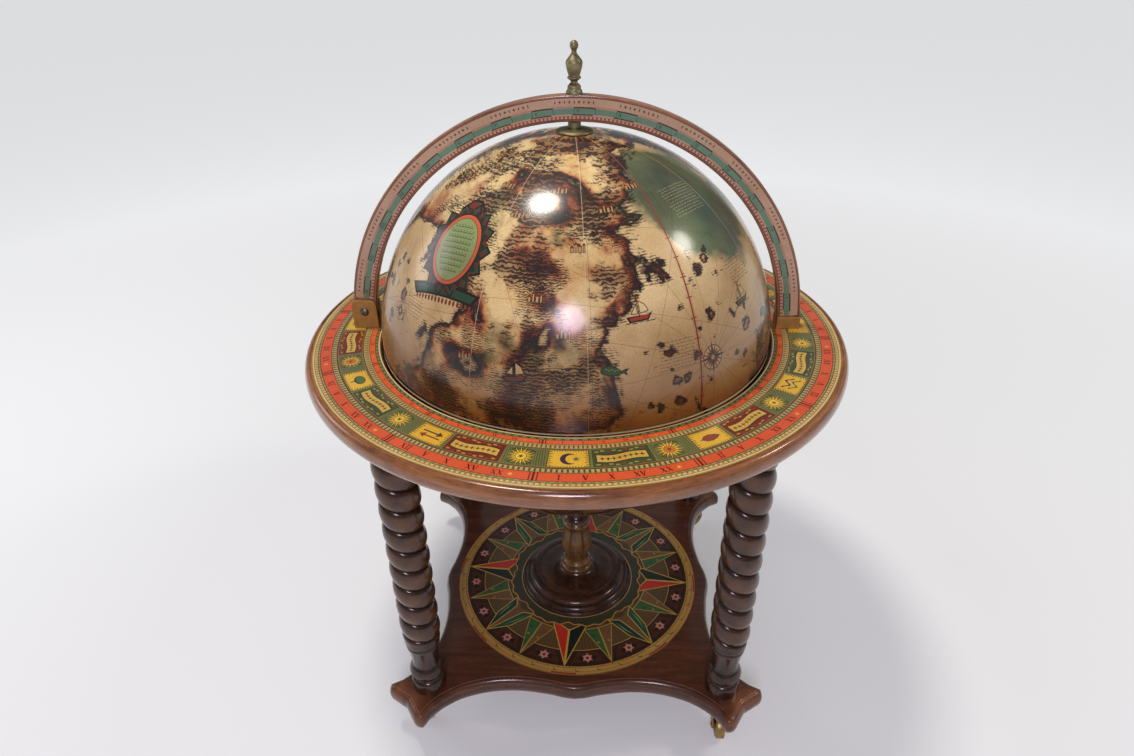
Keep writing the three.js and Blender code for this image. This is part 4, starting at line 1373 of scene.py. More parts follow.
        # Wave strokes on the open seas, in short rows.
        draw = np.random.default_rng(11)
        for lon, colatitude, rows, width, ink in (
            (-63, 72, 9, 44, "#5A4028"), (-140, 66, 7, 34, "#5A4028"), (-33, 58, 8, 40, "#5A4028"),
            (-98, 83, 4, 40, "#5A4028"), (90, 64, 8, 44, "#5A4028"), (20, 70, 7, 40, "#5A4028"),
            (170, 66, 8, 44, "#5A4028"), (-38, 36, 11, 52, "#A8A070"), (150, 54, 9, 46, "#A8A070"),
        ):
            for row in range(rows):
                x = -width / 2 + draw.uniform(0, 5)
                while x < width / 2:
                    long = draw.uniform(1.6, 5.0)
                    y = (row - rows / 2) * 3.6 + draw.uniform(-0.25, 0.25)
                    stroke = [
                        (x, y), (x + long / 2, y - 0.45), (x + long, y), (x + long, y + 0.55),
                        (x + long / 2, y + 0.2), (x, y + 0.7),
                    ]
                    self.picture(art, [(stroke, ink)], lon, colatitude)
                    x += long + draw.uniform(0.8, 2.0)
        # A red meridian with a tick at every fifth degree.
        art.sector(14, self.map_edge, -56.4, -55.9, "#8E3020")
        art.ticks(14, self.map_edge, (-56.7, -55.6), 0.06, "#8E3020")
        for degree in range(20, self.map_edge, 5):
            art.sector(degree - 0.12, degree + 0.12, -57.2, -55.1, "#8E3020")
        art.ticks(1.0, 7.5, np.arange(-170, 190, 12), 2.6, "#A8522C", 2)
        art.ticks(1.0, 5.0, np.arange(-164, 196, 12), 3.0, "#C98A4A", -1)
        # A small oval plate in a moulded frame, with plain ruled lines.
        frame = [(oval(x, -58, 1.8, 3.4, 8), "#7E3A26") for x in np.arange(-40, 44, 5.5)]
        frame += [
            ([(-52, -44), (52, -44), (44, -57), (-44, -57)], "#1C1810"),
            ([(-47, -46), (47, -46), (42, -54), (-42, -54)], "#2A4632"),
            ([(-20, 46), (20, 46), (6, 60), (-6, 60)], "#1C1810"),
            ([(-14, 48), (14, 48), (5, 57), (-5, 57)], "#6E2C20"), (star(14, 47, 38, 4) * (1, 1.2), "#1C1810"),
            (star(14, 44, 35, 4) * (1, 1.2), "#2A4632"), (star(28, 41, 36) * (1, 1.22), "#5E2A1E"),
            (star(22, 39, 33, 9) * (1, 1.24), "#1F2A1E"), (oval(0, 0, 31.5, 41, 48), "#1F1610"),
            (oval(0, 0, 30.3, 39.8, 48), "#C65A34"), (oval(0, 0, 26.4, 36, 48), "#7A2E1C"),
            (oval(0, 0, 25.6, 35.2, 48), "#87945C"),
        ]
        for row in range(-4, 5):
            half = 19 * sqrt(1 - (row * 6 / 32) ** 2)
            bar = [
                (-half, row * 6.2 - 0.5), (half, row * 6.2 - 0.5), (half, row * 6.2 + 0.5),
                (-half, row * 6.2 + 0.5),
            ]
            frame.append((bar, "#3E5A38"))
            frame += [(oval(x, row * 6.2 + 2.2, 0.9, 0.9, 6), "#4A6440") for x in np.arange(-half, half, 4.4)]
        self.picture(art, frame, -131, 49, 6)
        for lon, colatitude, size in ((-52, 76, 17), (-146, 70, 13), (95, 70, 17)):
            self.picture(art, self.rose(size), lon, colatitude)
        for lon, colatitude, hull, sail in (
            (-72, 62, "#9A3A22", "#D8BE8A"), (-36, 66, "#6A4A24", "#C9AE7A"), (-104, 76, "#7A3A22", "#D8BE8A"),
            (35, 64, "#9A3A22", "#D8BE8A"), (150, 68, "#6A4A24", "#D8BE8A"),
        ):
            self.picture(art, self.boat(hull, sail), lon, colatitude, 4)
        for lon, colatitude in ((-80, 74), (-24, 74), (70, 74), (190, 62)):
            self.picture(art, self.whale(), lon, colatitude, -8)
        for lon, colatitude in (
            (-100, 58), (-88, 46), (-112, 38), (-76, 36), (-96, 30), (-124, 30), (-60, 30), (-118, 74), (60, 50),
            (30, 40), (100, 46), (140, 52), (-92, 66),
        ):
            self.picture(art, self.town("#9A3420" if lon % 2 else "#7A2A1C"), lon, colatitude)
        art.disc(degrees(asin(self.bore / self.radius)), None, self.rim_sides)
        return art

    def shell(self) -> Shape:
        """Shape of the half.

        Returns:
            A closed shell about its middle, whose marks tell the map from the lining.
        """
        angles = np.arange(self.grid, self.map_edge, self.grid)
        rings = [np.array(arc(0, 0, angle, 0, tau, self.spokes)) for angle in angles]
        turns = np.arange(self.spokes) * tau / self.spokes
        rays = []
        for turn, start in zip(turns, [self.grid, 20, 10, 20] * (self.spokes // 4)):
            angles = np.arange(start, self.map_edge, self.grid)
            rays.append(np.column_stack((angles * cos(turn), angles * sin(turn))))
        flat, faces, inks = self.artwork().cut([*rings, *rays])
        tilt = np.radians(np.linalg.norm(flat, axis=1))
        way = flat / np.linalg.norm(flat, axis=1)[:, None]
        points = np.column_stack((way * np.sin(tilt)[:, None], np.cos(tilt) * self.side)) * self.radius
        outside = Shape(points, faces, None, inks, [0] * len(faces))
        inside = self.radius - self.wall
        rim = self.split + self.ease
        rim_reach = sqrt(self.radius**2 - rim**2)
        hole = sqrt(self.radius**2 - self.bore**2)
        profile = [
            (rim_reach, rim), (self.radius - self.ease, self.split), (inside + self.ease, self.split),
            *arc(0, 0, inside, asin(rim / inside), acos(self.bore / inside), 56), (self.bore, hole),
        ]
        lining = turned([(reach, height * self.side) for reach, height in profile], self.rim_sides, False)
        lining.marks = [1] * len(lining.faces)
        return outside.joined(lining).welded(0.03)

    def build(self, shop: Workshop, name: str, body: str, node: str, centre: float) -> None:
        """Make the half as one piece."""
        shape = self.shell().moved(z=centre)
        shop.place(name, shape, (MAP_LACQUER, SHELL_PAINT), [node], "map_globe", body, ball=centre)


@dataclass
class TableRing:
    """Table ring with its printed sheet, and the support ring under it."""

    top: float = GLOBE_CENTRE
    inner: float = 251.0
    outer: float = 344.0
    thickness: float = 22.0
    nose: float = 7.0
    print_inner: float = 252.5
    print_outer: float = 334.0
    sheet: float = 0.8
    globe: float = GLOBE_RADIUS
    support_outer: float = 261.0
    support_height: float = 12.0
    first_panel: float = -90.4

    def wood(self) -> Shape:
        """Shape of the ring.

        Returns:
            A flat ring with a bed for the print, a groove and a bullnose edge.
        """
        half = self.thickness / 2
        nose_x = self.outer - self.nose
        nose = [(nose_x + self.nose * x, half * y - half) for x, y in arc(0, 0, 1, 1.47, -pi / 2, 20)]
        profile = [
            (self.inner + 0.6, -self.thickness), (self.inner, -self.thickness + 0.6),
            (self.inner, -self.sheet - 0.6), (self.inner + 0.6, -self.sheet), (self.print_outer, -self.sheet),
            (self.print_outer + 0.3, -2.3), (self.print_outer + 1.3, -2.6), (self.print_outer + 2.3, -1.9),
            (nose_x - 0.3, -0.5), (nose_x + 0.3, -0.05), *nose,
        ]
        return turned(profile, 288).moved(z=self.top)

    def artwork(self) -> Artwork:
        """Draw the print of the ring.

        Returns:
            Bands of scales round twelve panels, ribbons and suns.
        """
        art = Artwork("#C9A566")
        bands = (
            (self.print_outer, "#8C7A46"), (333.2, "#D2B878"), (331.2, "#5E5A34"), (330.4, "#CDB070"),
            (327.2, "#3A3420"), (326.4, "#7E7A48"), (324.3, "#2E2A1C"), (323.6, "#D0542C"), (311.4, "#4A1E16"),
            (310.6, "#A3925A"), (304.9, "#5C1E18"), (303.4, "#6E7040"), (273.3, "#5C1E18"), (272.2, "#A8945E"),
            (265.2, "#4A2016"), (264.5, "#DC5E2C"), (258.4, "#3F4630"), (257.6, "#7A7C50"), (254.9, "#38301E"),
            (254.1, "#DCC486"),
        )
        for radius, ink in bands:
            art.disc(radius, ink)
        for inside, outside, first, step, width, ink in (
            (324.6, 326.2, 0, 1.5, 0.7, "#B08A4A"), (327.6, 329.9, 0, 1, 0.42, "#8A6A3A"),
            (305.4, 310.2, 0.5, 1, 0.4, "#4E4428"), (305.4, 307.8, 0, 1, 0.4, "#B8A262"),
            (266.2, 271.4, 0.5, 1, 0.34, "#5A4A2A"), (268.6, 271.4, 0, 1, 0.4, "#B8A262"),
            (255.2, 257.4, 0, 2, 0.8, "#3E4A34"),
        ):
            art.ticks(inside, outside, np.arange(first, 360, step), width, ink)
        for sector in range(12):
            self.sector(art, sector, self.first_panel + 30 * sector)
        art.disc(self.print_inner, None)
        return art

    def sector(self, art: Artwork, number: int, start: float) -> None:
        """Draw one twelfth of the print.

        Args:
            art: The artwork.
            number: Which twelfth, from 0 to 11.
            start: Angle of its panel's middle.
        """
        month = "I II III IV V VI VII VIII IX X XI XII".split()[number]
        for inside, outside, height, ink in ((311.4, 323.6, 8.0, "#5A140E"), (258.4, 264.5, 3.9, "#6A1A10")):
            middle = (inside + outside) / 2
            for shift in (-6.2, -5.4, 23.2, 24.0):
                art.ticks(inside, outside, (start + shift,), 0.22, ink)
            for shift, text in ((3.0, "V"), (-1.6, month), (7.6, "X"), (12.6, "XV"), (17.4, "XX")):
                art.stamp([(stroke, ink) for stroke in numeral(text, height)], middle, start + shift)
            art.stamp([(star(8, height * 0.42, height * 0.16), "#E0A04A")], middle, start - 10.2)
        # Panel: an amber field with ragged ends and one dark figure.
        art.sector(274.4, 302.2, start - 4.3, start + 4.1, "#4A4426")
        art.sector(275.0, 301.6, start - 4.1, start + 3.9, "#D8AC38")
        for place in np.arange(276.5, 301, 2.9):
            for edge, way in ((-4.1, 1), (3.9, -1)):
                end = start + edge + way * (0.55 + 0.25 * (int(place) % 2))
                art.sector(place, place + 1.1, start + edge, end, "#5E5224")
        for inside, outside in ((299.6, 301.6), (275.0, 276.8)):
            art.ticks(inside, outside, np.arange(start - 3.6, start + 3.8, 0.55), 0.16, "#5E5224")
        art.stamp(self.figure(number), 288.4, start)
        # Ribbon on a field that is green or dark red by turns, with leaves above and below.
        field_ink, leaf_ink = ("#6A281A", "#B4803A") if number % 2 else ("#3E4A2C", "#8E8A48")
        art.sector(274.4, 302.2, start + 4.6, start + 16.6, field_ink)
        for step in range(9):
            angle = start + 5.6 + step * 1.22
            for radius, lean in ((278.2, 1), (298.6, -1)):
                leaf = oval(0, 0, 2.6, 1.2, 10) + (0, lean * (step % 2) * 1.4)
                art.stamp([(leaf, leaf_ink if (step + lean) % 3 else "#8A3A22")], radius, angle)
        swing = np.linspace(0, 1, 25)
        for grow, ink in ((0.9, "#2A2012"), (0.0, "#C6A24C")):
            upper, lower = [], []
            for t in swing:
                angle = radians(start + 5.5 - grow * 0.15 + t * (10.2 + grow * 0.3))
                radius = 288.4 + 1.6 * sin(t * tau)
                for reach, line in ((5.4 + grow, upper), (-5.4 - grow, lower)):
                    line.append(((radius + reach) * cos(angle), (radius + reach) * sin(angle)))
            art.paint(upper + lower[::-1], ink)
        for step in range(8):
            t = (step + 0.9) / 8.8
            art.stamp([(star(4, 3.4, 1.1), "#5A3A1C")], 288.4 + 1.6 * sin(t * tau), start + 5.5 + t * 10.2)
        # Sun on a hatched green ground.
        sun = start + 20.4
        art.ticks(275, 301.8, np.arange(start + 17.0, start + 25.4, 0.5), 0.2, "#4A5030", 0.3)
        for radius in (280, 288.4, 296.6):
            art.stamp([(oval(0, 0, 13, 5.4, 24), "#33442C" if number % 2 else "#3A4A34")], radius, sun)
        face = "#E2BE4C" if number % 3 else "#C86A3A"
        rays = [(star(16, 16.4, 5.0), "#8A7428"), (star(16, 15.2, 5.4, 101.25), "#DDB640")]
        disc = [(oval(0, 0, 6.2, 6.2, 28), "#8A5E1E"), (oval(0, 0, 5.4, 5.4, 28), face)]
        art.stamp([*rays, *disc, (star(6, 3.6, 1.4), "#5A4A22")], 288.4, sun)

    def figure(self, number: int) -> Parts:
        """Plain sign for a panel.

        Args:
            number: Which panel, from 0 to 11.

        Returns:
            Its parts.
        """
        dark, tint = ("#3A2A3A", "#5A3A2A")[number % 2], ("#4E6A34", "#8A3A24")[number % 2]
        crescent = [*arc(0, 0, 9, 0.78, tau - 0.78, 20), *arc(3.4, 0, 7, tau - 1.13, 1.13, 16)[1:-1]]
        leaf = [(-11, 0), (-6, 4.6), (0, 5.6), (7, 3.6), (12, 0), (7, -3.6), (0, -5.6), (-6, -4.6)]
        vein = [(-13, -0.5), (12, -0.3), (12, 0.3), (-13, 0.5)]
        wave = [*[(x, 3.2 * sin(x / 2.4) + 1.3) for x in range(-12, 13)]]
        wave += [(x, 3.2 * sin(x / 2.4) - 1.3) for x in range(12, -13, -1)]
        tree = [(-1, -9), (1, -9), (0.8, -3), (-0.8, -3)]
        arrow = [(-13, -1), (6, -1), (6, -4.4), (13, 0), (6, 4.4), (6, 1), (-13, 1)]
        choices = [
            [(crescent, dark), (star(5, 4.4, 1.8) + (7, 0), tint)],
            [(leaf, dark), (inset(leaf, 1.0), tint), (vein, dark)],
            [(np.array(wave) + (0, 4), dark), (np.array(wave) + (0, -4), tint)],
            [(star(8, 10.5, 4.2), dark), (star(8, 7, 3, 112.5), tint), (oval(0, 0, 2.4, 2.4), "#D8A83A")],
            [(tree, dark), (oval(0, 2, 9.6, 6.4, 18), dark), (oval(0, 2.6, 8.2, 5, 18), tint)],
            [(np.array(arrow) + (0, 3.4), dark), (-np.array(arrow) + (0, -3.4), tint)],
        ]
        return choices[number % 6]

    def build(self, shop: Workshop) -> None:
        """Make and dress the pieces.

        Args:
            shop: Where pieces are made.
        """
        shop.place("table_ring_wood", self.wood(), RING_WOOD, ["table_ring"], "ring_wood")
        sheet = self.artwork().sheet(self.sheet).moved(z=self.top - self.sheet)
        shop.place("table_ring_print", sheet, SHEET_PRINT, ["ring_print"], "ring_print")
        low = self.thickness + self.support_height
        lip = [
            (sqrt(self.globe**2 - self.thickness**2) + GLOBE_GAP, -self.thickness),
            (sqrt(self.globe**2 - low**2) + GLOBE_GAP, -low), (self.support_outer - 4, -low),
            (self.support_outer - 1.2, -low + 1.2), (self.support_outer, -low + 4),
            (self.support_outer, -self.thickness),
        ]
        support = turned(lip, 192).moved(z=self.top)
        shop.place("support_ring", support, DARK_WOOD, ["bowl_support_ring"], "dark_wood")


@dataclass
class Lid:
    """Half arch with its prints, its finial and the cap at the pole of the globe."""

    centre: float = GLOBE_CENTRE
    globe: float = GLOBE_RADIUS
    inner: float = 260.0
    width: float = 29.0
    depth: float = 14.4
    margin: float = 2.5
    sheet: float = 0.4
    pivot_height: float = 23.0
    catch_end: float = 4.0
    hinge_top: float = 39.5
    catch_top: float = 16.5
    cap_radius: float = 21.8
    finial_radius: float = 9.4
    finial_height: float = 55.4

    def arch(self) -> Shape:
        """Shape of the arch.

        Returns:
            A flat half ring with eased edges, round at the hinge and square at the catch.
        """
        middle = self.inner + self.width / 2
        pivot = pi - asin(self.pivot_height / middle)
        catch = asin(self.catch_end / middle)
        pivot_x = middle * cos(pivot)
        outline = [
            *arc(0, 0, self.inner + self.width, catch, pivot, 160),
            *arc(pivot_x, self.pivot_height, self.width / 2, pivot, pivot + pi, 16)[1:-1],
            *arc(0, 0, self.inner, pivot, catch, 160),
        ]
        half = self.depth / 2
        return slab(
            outline, eased([(1.4, 0), (0.5, 0.4), (0, 1.4)], -half, half),
        ).moved(z=self.centre, turn=UPRIGHT)

    def artwork(self) -> Artwork:
        """Draw the print of the arch in its own plane.

        Returns:
            A scale of degrees from hinge to catch.
        """
        low, high = self.inner + self.margin, self.inner + self.width - self.margin
        start = degrees(asin(self.catch_top / low))
        end = 180 - degrees(asin(self.hinge_top / low))
        art = Artwork("#A06A4A")
        for inside, outside, ink in (
            (low, high, "#6A4434"), (low + 0.7, high - 0.8, "#C8A688"), (275.9, 276.7, "#A8745A"),
            (268.4, 275.2, "#6C8F74"), (263.2, 266.8, "#9A5A46"),
        ):
            art.sector(inside, outside, start, end, ink)
        art.ticks(263.6, 266.4, np.arange(start + 0.4, end - 0.3, 1.0), 0.5, "#D2A488")
        for step in range(36):
            first = step * 5.0
            last = first + 5.0
            if first < start or last > end:
                continue
            art.ticks(268.4, 275.2, (first,), 0.16, "#3E5E4A")
            if step % 2:
                art.sector(275.0, 276.2, first, last, "#2A1C14")
                art.sector(267.4, 268.6, first + 0.5, last + 0.5, "#2A1C14")
                text = "I II III IV V VI VII VIII IX".split()[step // 4]
                art.stamp([(-stroke, "#24402E") for stroke in numeral(text, 3.6)], 271.9, last - 0.9)
            else:
                art.sector(276.6, 278.0, first, last, "#D09A7C")
        for place in range(15, 170, 15):
            for shift in np.arange(-4.4, 4.5, 1.1):
                mark = star(4, 2.2, 0.9) if round(shift * 10) % 2 else oval(0, 0, 0.7, 2.0, 8)
                art.stamp([(mark, "#6A3426")], 281.6, place + shift)
        return art

    def finial(self) -> Shape:
        """Shape of the finial.

        Returns:
            A turned vase with rings and a ball on top.
        """
        shares = [
            (0, 0), (0.985, 0), (0.985, 0), (0.985, 0.055), (0.83, 0.085), (0.79, 0.115), (0.81, 0.145),
            (0.69, 0.172), (0.415, 0.215), (0.415, 0.25), (0.64, 0.275), (0.82, 0.297), (0.82, 0.32), (0.67, 0.338),
            (0.68, 0.36), (0.87, 0.45), (1, 0.56), (1, 0.605), (0.85, 0.65), (0.53, 0.715), (0.32, 0.76),
            (0.29, 0.8), (0.35, 0.83), (0.49, 0.868), (0.52, 0.912), (0.43, 0.958), (0.22, 0.99), (0, 1),
        ]
        return turned(softened(scaled(shares, self.finial_radius, self.finial_height)), 48)

    def cap(self) -> Shape:
        """Shape of the cap at the pole.

        Returns:
            A low dome with a boss, resting on the globe.
        """
        edge = sqrt(self.globe**2 - self.cap_radius**2) + GLOBE_GAP
        profile = [
            (4.5, self.globe + GLOBE_GAP), (self.cap_radius - 1, edge), (self.cap_radius - 1, edge),
            (self.cap_radius, edge + 0.6), (self.cap_radius, edge + 2), (self.cap_radius - 2, edge + 3.4),
            (14.6, 251.8), (9.5, 252.6), (7.5, 253.4), (7.5, 253.4), (7.5, 259.5), (7.5, 259.5), (4.5, 259.5),
        ]
        return turned(softened(profile), 64)

    def build(self, shop: Workshop) -> None:
        """Make and dress the pieces.

        Args:
            shop: Where pieces are made.
        """
        shop.place("arch_wood", self.arch(), ARCH_WOOD, ["arch_core"], "ring_wood", "lid_arm")
        sheet = self.artwork().sheet(self.sheet)
        for side, place, turn in (("front", -1, UPRIGHT), ("back", 1, Matrix.Rotation(pi, 3, "Z") @ UPRIGHT)):
            shape = sheet.moved(y=place * self.depth / 2, z=self.centre, turn=turn)
            shop.place(f"arch_sheet_{side}", shape, SHEET_PRINT, [f"arch_print_{side}"], "arch_print", "lid_arm")
        finial = self.finial().moved(z=self.centre + self.inner + self.width)
        shop.place("arch_finial", finial, AGED_BRASS, ["finial"], "aged_brass", "lid_arm")
        shop.dress(["spindle", "spindle_nut"], SCREW_STEEL)
        cap = self.cap().moved(z=self.centre)
        shop.place("globe_pole_cap", cap, AGED_BRASS, ["pole_cap"], "aged_brass", "lid_dome")
        shop.dress(["dome_washer"], CASTER_BRASS)


@dataclass
class Brackets:
    """Hinge bracket on the left, catch bracket on the right, with the bolt and the screws that hold them."""

    top: float = GLOBE_CENTRE
    plate: float = 3.0
    inner_half: float = 8.1
    screw_spacing: float = 18.0
    screw_head: float = 4.1
    screw_length: float = 15.0
    bolt_height: float = 23.0
    hinge_x: float = -273.535
    catch_x: float = 274.5

    def bracket(self, width: float, height: float, corner: float, pierced: bool) -> Shape:
        """Shape of a bracket about the middle of its foot.

        Args:
            width: Its width along X.
            height: Its height.
            corner: Radius of the upper corners.
            pierced: Whether the bolt goes through.

        Returns:
            A foot plate with countersunk holes and two cheeks.
        """
        half = width / 2
        outline = [
            (-half, self.plate * 0.2), (half, self.plate * 0.2),
            *arc(half - corner, height - corner, corner, 0, pi / 2, 12),
            *arc(corner - half, height - corner, corner, pi / 2, pi, 12),
        ]
        hole = [arc(0, self.bolt_height, 3.2, 0, tau, 24)[:-1]] if pierced else []
        cheek = slab(outline, eased([(0.5, 0), (0.12, 0.18), (0, 0.6)], 0, self.plate), hole)
        front = cheek.moved(y=-self.inner_half, turn=UPRIGHT)
        back = cheek.moved(y=self.inner_half + self.plate, turn=UPRIGHT)
        reach = self.inner_half + self.plate - 0.05
        foot = [(-half, -reach), (half, -reach), (half, reach), (-half, reach)]
        places = (-self.screw_spacing / 2, self.screw_spacing / 2)
        sinks = [arc(x, 0, self.screw_head, 0, tau, 24)[:-1] for x in places]
        return slab(foot, eased([(0.2, 0), (0, 0.2)], 0, self.plate), sinks).joined(front, back)

    def build(self, shop: Workshop) -> None:
        """Make and dress the pieces.

        Args:
            shop: Where pieces are made.
        """
        for name, x, shape in (
            ("hinge_bracket", self.hinge_x, self.bracket(32, 39, 8, True)),
            ("catch_bracket", self.catch_x, self.bracket(29.6, 16, 2, False)),
        ):
            shop.place(f"{name}_cast", shape.moved(x, 0, self.top), BRACKET_BRASS, [name], "aged_brass")
        tree = self.fastener_tree()
        steel = shop.finish(SCREW_STEEL)
        tip = -self.screw_length
        screw = turned([(0, 0), (3.6, 0), (3.8, -0.2), (1.9, -2), (1.9, tip + 3), (0, tip)], 24)
        apart, middle = self.catch_x - self.hinge_x, (self.catch_x + self.hinge_x) / 2
        pairs = {"Material": steel, "Pair spacing": self.screw_spacing * MM, "Bracket distance": apart * MM}
        screws = grown(tree, pairs, screw).moved(middle, 0, self.top + self.plate)
        names = [f"{side}_bracket_screw_{number}" for side in ("hinge", "catch") for number in (1, 2)]
        shop.place("bracket_screws", screws, SCREW_STEEL, names, "brass")
        reach = self.inner_half + self.plate
        head = [(0, 2.8), (2.9, 2.5), (4.9, 1.4), (5.6, 0.3), (5.7, 0), (3, 0), (3, -24.7), (0, -24.7)]
        single = {"Material": steel, "Pairs": 1, "Screws": 1, "Slot turn": 0.35}
        bolt = grown(tree, single, turned(head, 48))
        height = self.top + self.bolt_height
        bolt = bolt.moved(turn=UPRIGHT).moved(self.hinge_x, -reach, height)
        shop.place("hinge_slotted_bolt", bolt, SCREW_STEEL, ["hinge_bolt"], "steel")
        nut = turned([(3.1, 0), (5.6, 0), (5.6, 2.75), (3.4, 4.4), (0, 5), (0, 2.9), (3.1, 2.9)], 6)
        nut = nut.moved(turn=Matrix.Rotation(-pi / 2, 3, "X")).moved(self.hinge_x, reach, height)
        shop.place("hinge_domed_nut", nut, SCREW_STEEL, ["hinge_nut"], "steel", crease=20.0)

    def fastener_tree(self) -> Tree:
        """Build the rule of slotted fasteners: a slot cut in a blank, then pairs at each bracket.

        Returns:
            The tree of geometry nodes.
        """
        sizes = {"Slot width": 1.2 * MM, "Slot depth": 1.0 * MM, "Slot turn": 0.0, "Pair spacing": 0.0}
        counts = {"Bracket distance": 0.0, "Pairs": 2, "Screws": 2}
        tree, add, given = rule(
            "slotted_fasteners", {"Blank": "Geometry", **sizes, **counts, "Material": "Material"},
        )
        box = add(COMBINE, 0.03, given["Slot width"], given["Slot depth"])
        bounds = add("GeometryNodeBoundBox", given["Blank"]).outputs["Max"]
        level = add(COMBINE, Z=add(SEPARATE, bounds).outputs["Z"])
        lean = add(COMBINE, Z=given["Slot turn"])
        cube = add("GeometryNodeMeshCube", box)
        cutter = add("GeometryNodeTransform", cube, Translation=level, Rotation=lean)
        cut = add("GeometryNodeMeshBoolean", given["Blank"], cutter, operation="DIFFERENCE")
        for count, spacing in (("Screws", "Pair spacing"), ("Pairs", "Bracket distance")):
            span = add(TIMES, add(MINUS, given[count], 1.0), given[spacing])
            start = add(COMBINE, add(TIMES, span, -0.5))
            shift = add(COMBINE, given[spacing])
            points = add("GeometryNodeMeshLine", Count=given[count], Start_Location=start, Offset=shift)
            cut = add("GeometryNodeInstanceOnPoints", points, Instance=cut)
        # Screw heads are worn bright all over.
        real = add("GeometryNodeRealizeInstances", cut)
        marked = add("GeometryNodeStoreNamedAttribute", real, Name="wear", Value=0.6)
        finished(add, marked, given["Material"])
        return tree


@dataclass
class RopeLegs:
    """Four turned legs: a vase foot below a left-handed rope, made by Geometry Nodes from one rule."""

    shelf_top: float = 82.0
    length: float = 439.0
    offset: float = 205.0
    foot_radius: float = 23.5
    foot_height: float = 101.0
    pitch: float = 32.0
    ridge: float = 26.0
    seam: float = 19.5
    collar: float = 24.0
    fade: float = 9.0
    sides: int = 64
    rows_per_turn: int = 16

    def rope_tree(self) -> Tree:
        """Build the rule of the rope: rows that follow the helix, with a round ridge between seams.

        Returns:
            The tree of geometry nodes.
        """
        rope = self.length - self.foot_height
        turns = ceil(rope / self.pitch) + 1
        lengths = {
            "Length": rope, "Pitch": self.pitch, "Ridge radius": self.ridge, "Seam radius": self.seam,
            "Collar radius": self.collar, "Fade": self.fade,
        }
        inputs = {name: value * MM for name, value in lengths.items()}
        inputs |= {"Turns": float(turns), "Sides": self.sides + 1, "Rows": turns * self.rows_per_turn + 1}
        tree, add, given = rule("rope_turning", {**inputs, "Material": "Material"})
        size = {"Size_X": 1.0, "Size_Y": 1.0, "Vertices_X": given["Sides"], "Vertices_Y": given["Rows"]}
        grid = add("GeometryNodeMeshGrid", **size)
        spot = add(SEPARATE, add("GeometryNodeInputPosition")).outputs
        across = add(PLUS, spot["X"], 0.5)
        turned_by = add(TIMES, add(PLUS, spot["Y"], 0.5), given["Turns"])
        floor = add(FLOOR, add(PLUS, turned_by, 1e-5))
        # Rows lie level at the seams and follow the helix between them.
        swing = add(TIMES, add(MINUS, turned_by, floor), pi)
        share = add(TIMES_PLUS, add(COSINE, swing), -0.5, 0.5)
        level = add(MINUS, add(PLUS, floor, share), across)
        above = add(MOST, add(TIMES, level, given["Pitch"]), 0.0)
        height = add(LEAST, above, given["Length"])
        bulge = add(ABSOLUTE, add(SINE, add(TIMES, turned_by, pi)))
        rise = add(MINUS, given["Ridge radius"], given["Seam radius"])
        ridge = add(TIMES_PLUS, bulge, rise, given["Seam radius"])
        nearest = add(LEAST, height, add(MINUS, given["Length"], height))
        full = add(LEAST, add(DIVIDE, nearest, given["Fade"]), 1.0)
        stand = add(MINUS, ridge, given["Collar radius"])
        radius = add(TIMES_PLUS, stand, full, given["Collar radius"])
        angle = add(TIMES, across, tau)
        x, y = (add(TIMES, add(kind, angle), radius) for kind in (COSINE, SINE))
        marked = add("GeometryNodeStoreNamedAttribute", grid, Name="wear", Value=bulge)
        shaped = add("GeometryNodeSetPosition", marked, Position=add(COMBINE, x, y, height))
        merged = add("GeometryNodeMergeByDistance", shaped, Distance=0.02 * MM)
        finished(add, merged, given["Material"])
        return tree

    def leg(self, material: Material) -> Shape:
        """Shape of one leg about the origin.

        Args:
            material: Material that the rope's rule sets.

        Returns:
            Foot, rope and flat top as one closed shape.
        """
        rope = grown(self.rope_tree(), {"Material": material}).moved(z=self.foot_height)
        shares = [
            (0, 0), (0.98, 0), (0.98, 0), (0.98, 0.16), (0.9, 0.195), (0.8, 0.215), (0.82, 0.245), (1, 0.31),
            (1, 0.38), (0.86, 0.45), (0.76, 0.475), (0.76, 0.53), (0.8, 0.66), (0.9, 0.79), (0.98, 0.86),
            (0.9, 0.88), (1.02, 0.92), (1.02, 0.97), (self.collar / self.foot_radius, 1.0),
        ]
        foot = turned(softened(scaled(shares, self.foot_radius, self.foot_height)), self.sides, False)
        top = turned([(self.collar, self.length), (0, self.length)], self.sides, False)
        return rope.joined(foot, top).welded(0.05)

    def build(self, shop: Workshop) -> None:
        """Make and dress the four legs.

        Args:
            shop: Where pieces are made.
        """
        leg = self.leg(shop.finish(DARK_WOOD))
        for corner, (x, y) in CORNERS.items():
            shape = leg.moved(x * self.offset, y * self.offset, self.shelf_top)
            shop.place(f"rope_leg_{corner}", shape, DARK_WOOD, [f"leg_{corner}"], "dark_wood", crease=70.0)
        shop.dress([f"leg_dowel_{corner}" for corner in CORNERS], INSERT_WOOD)


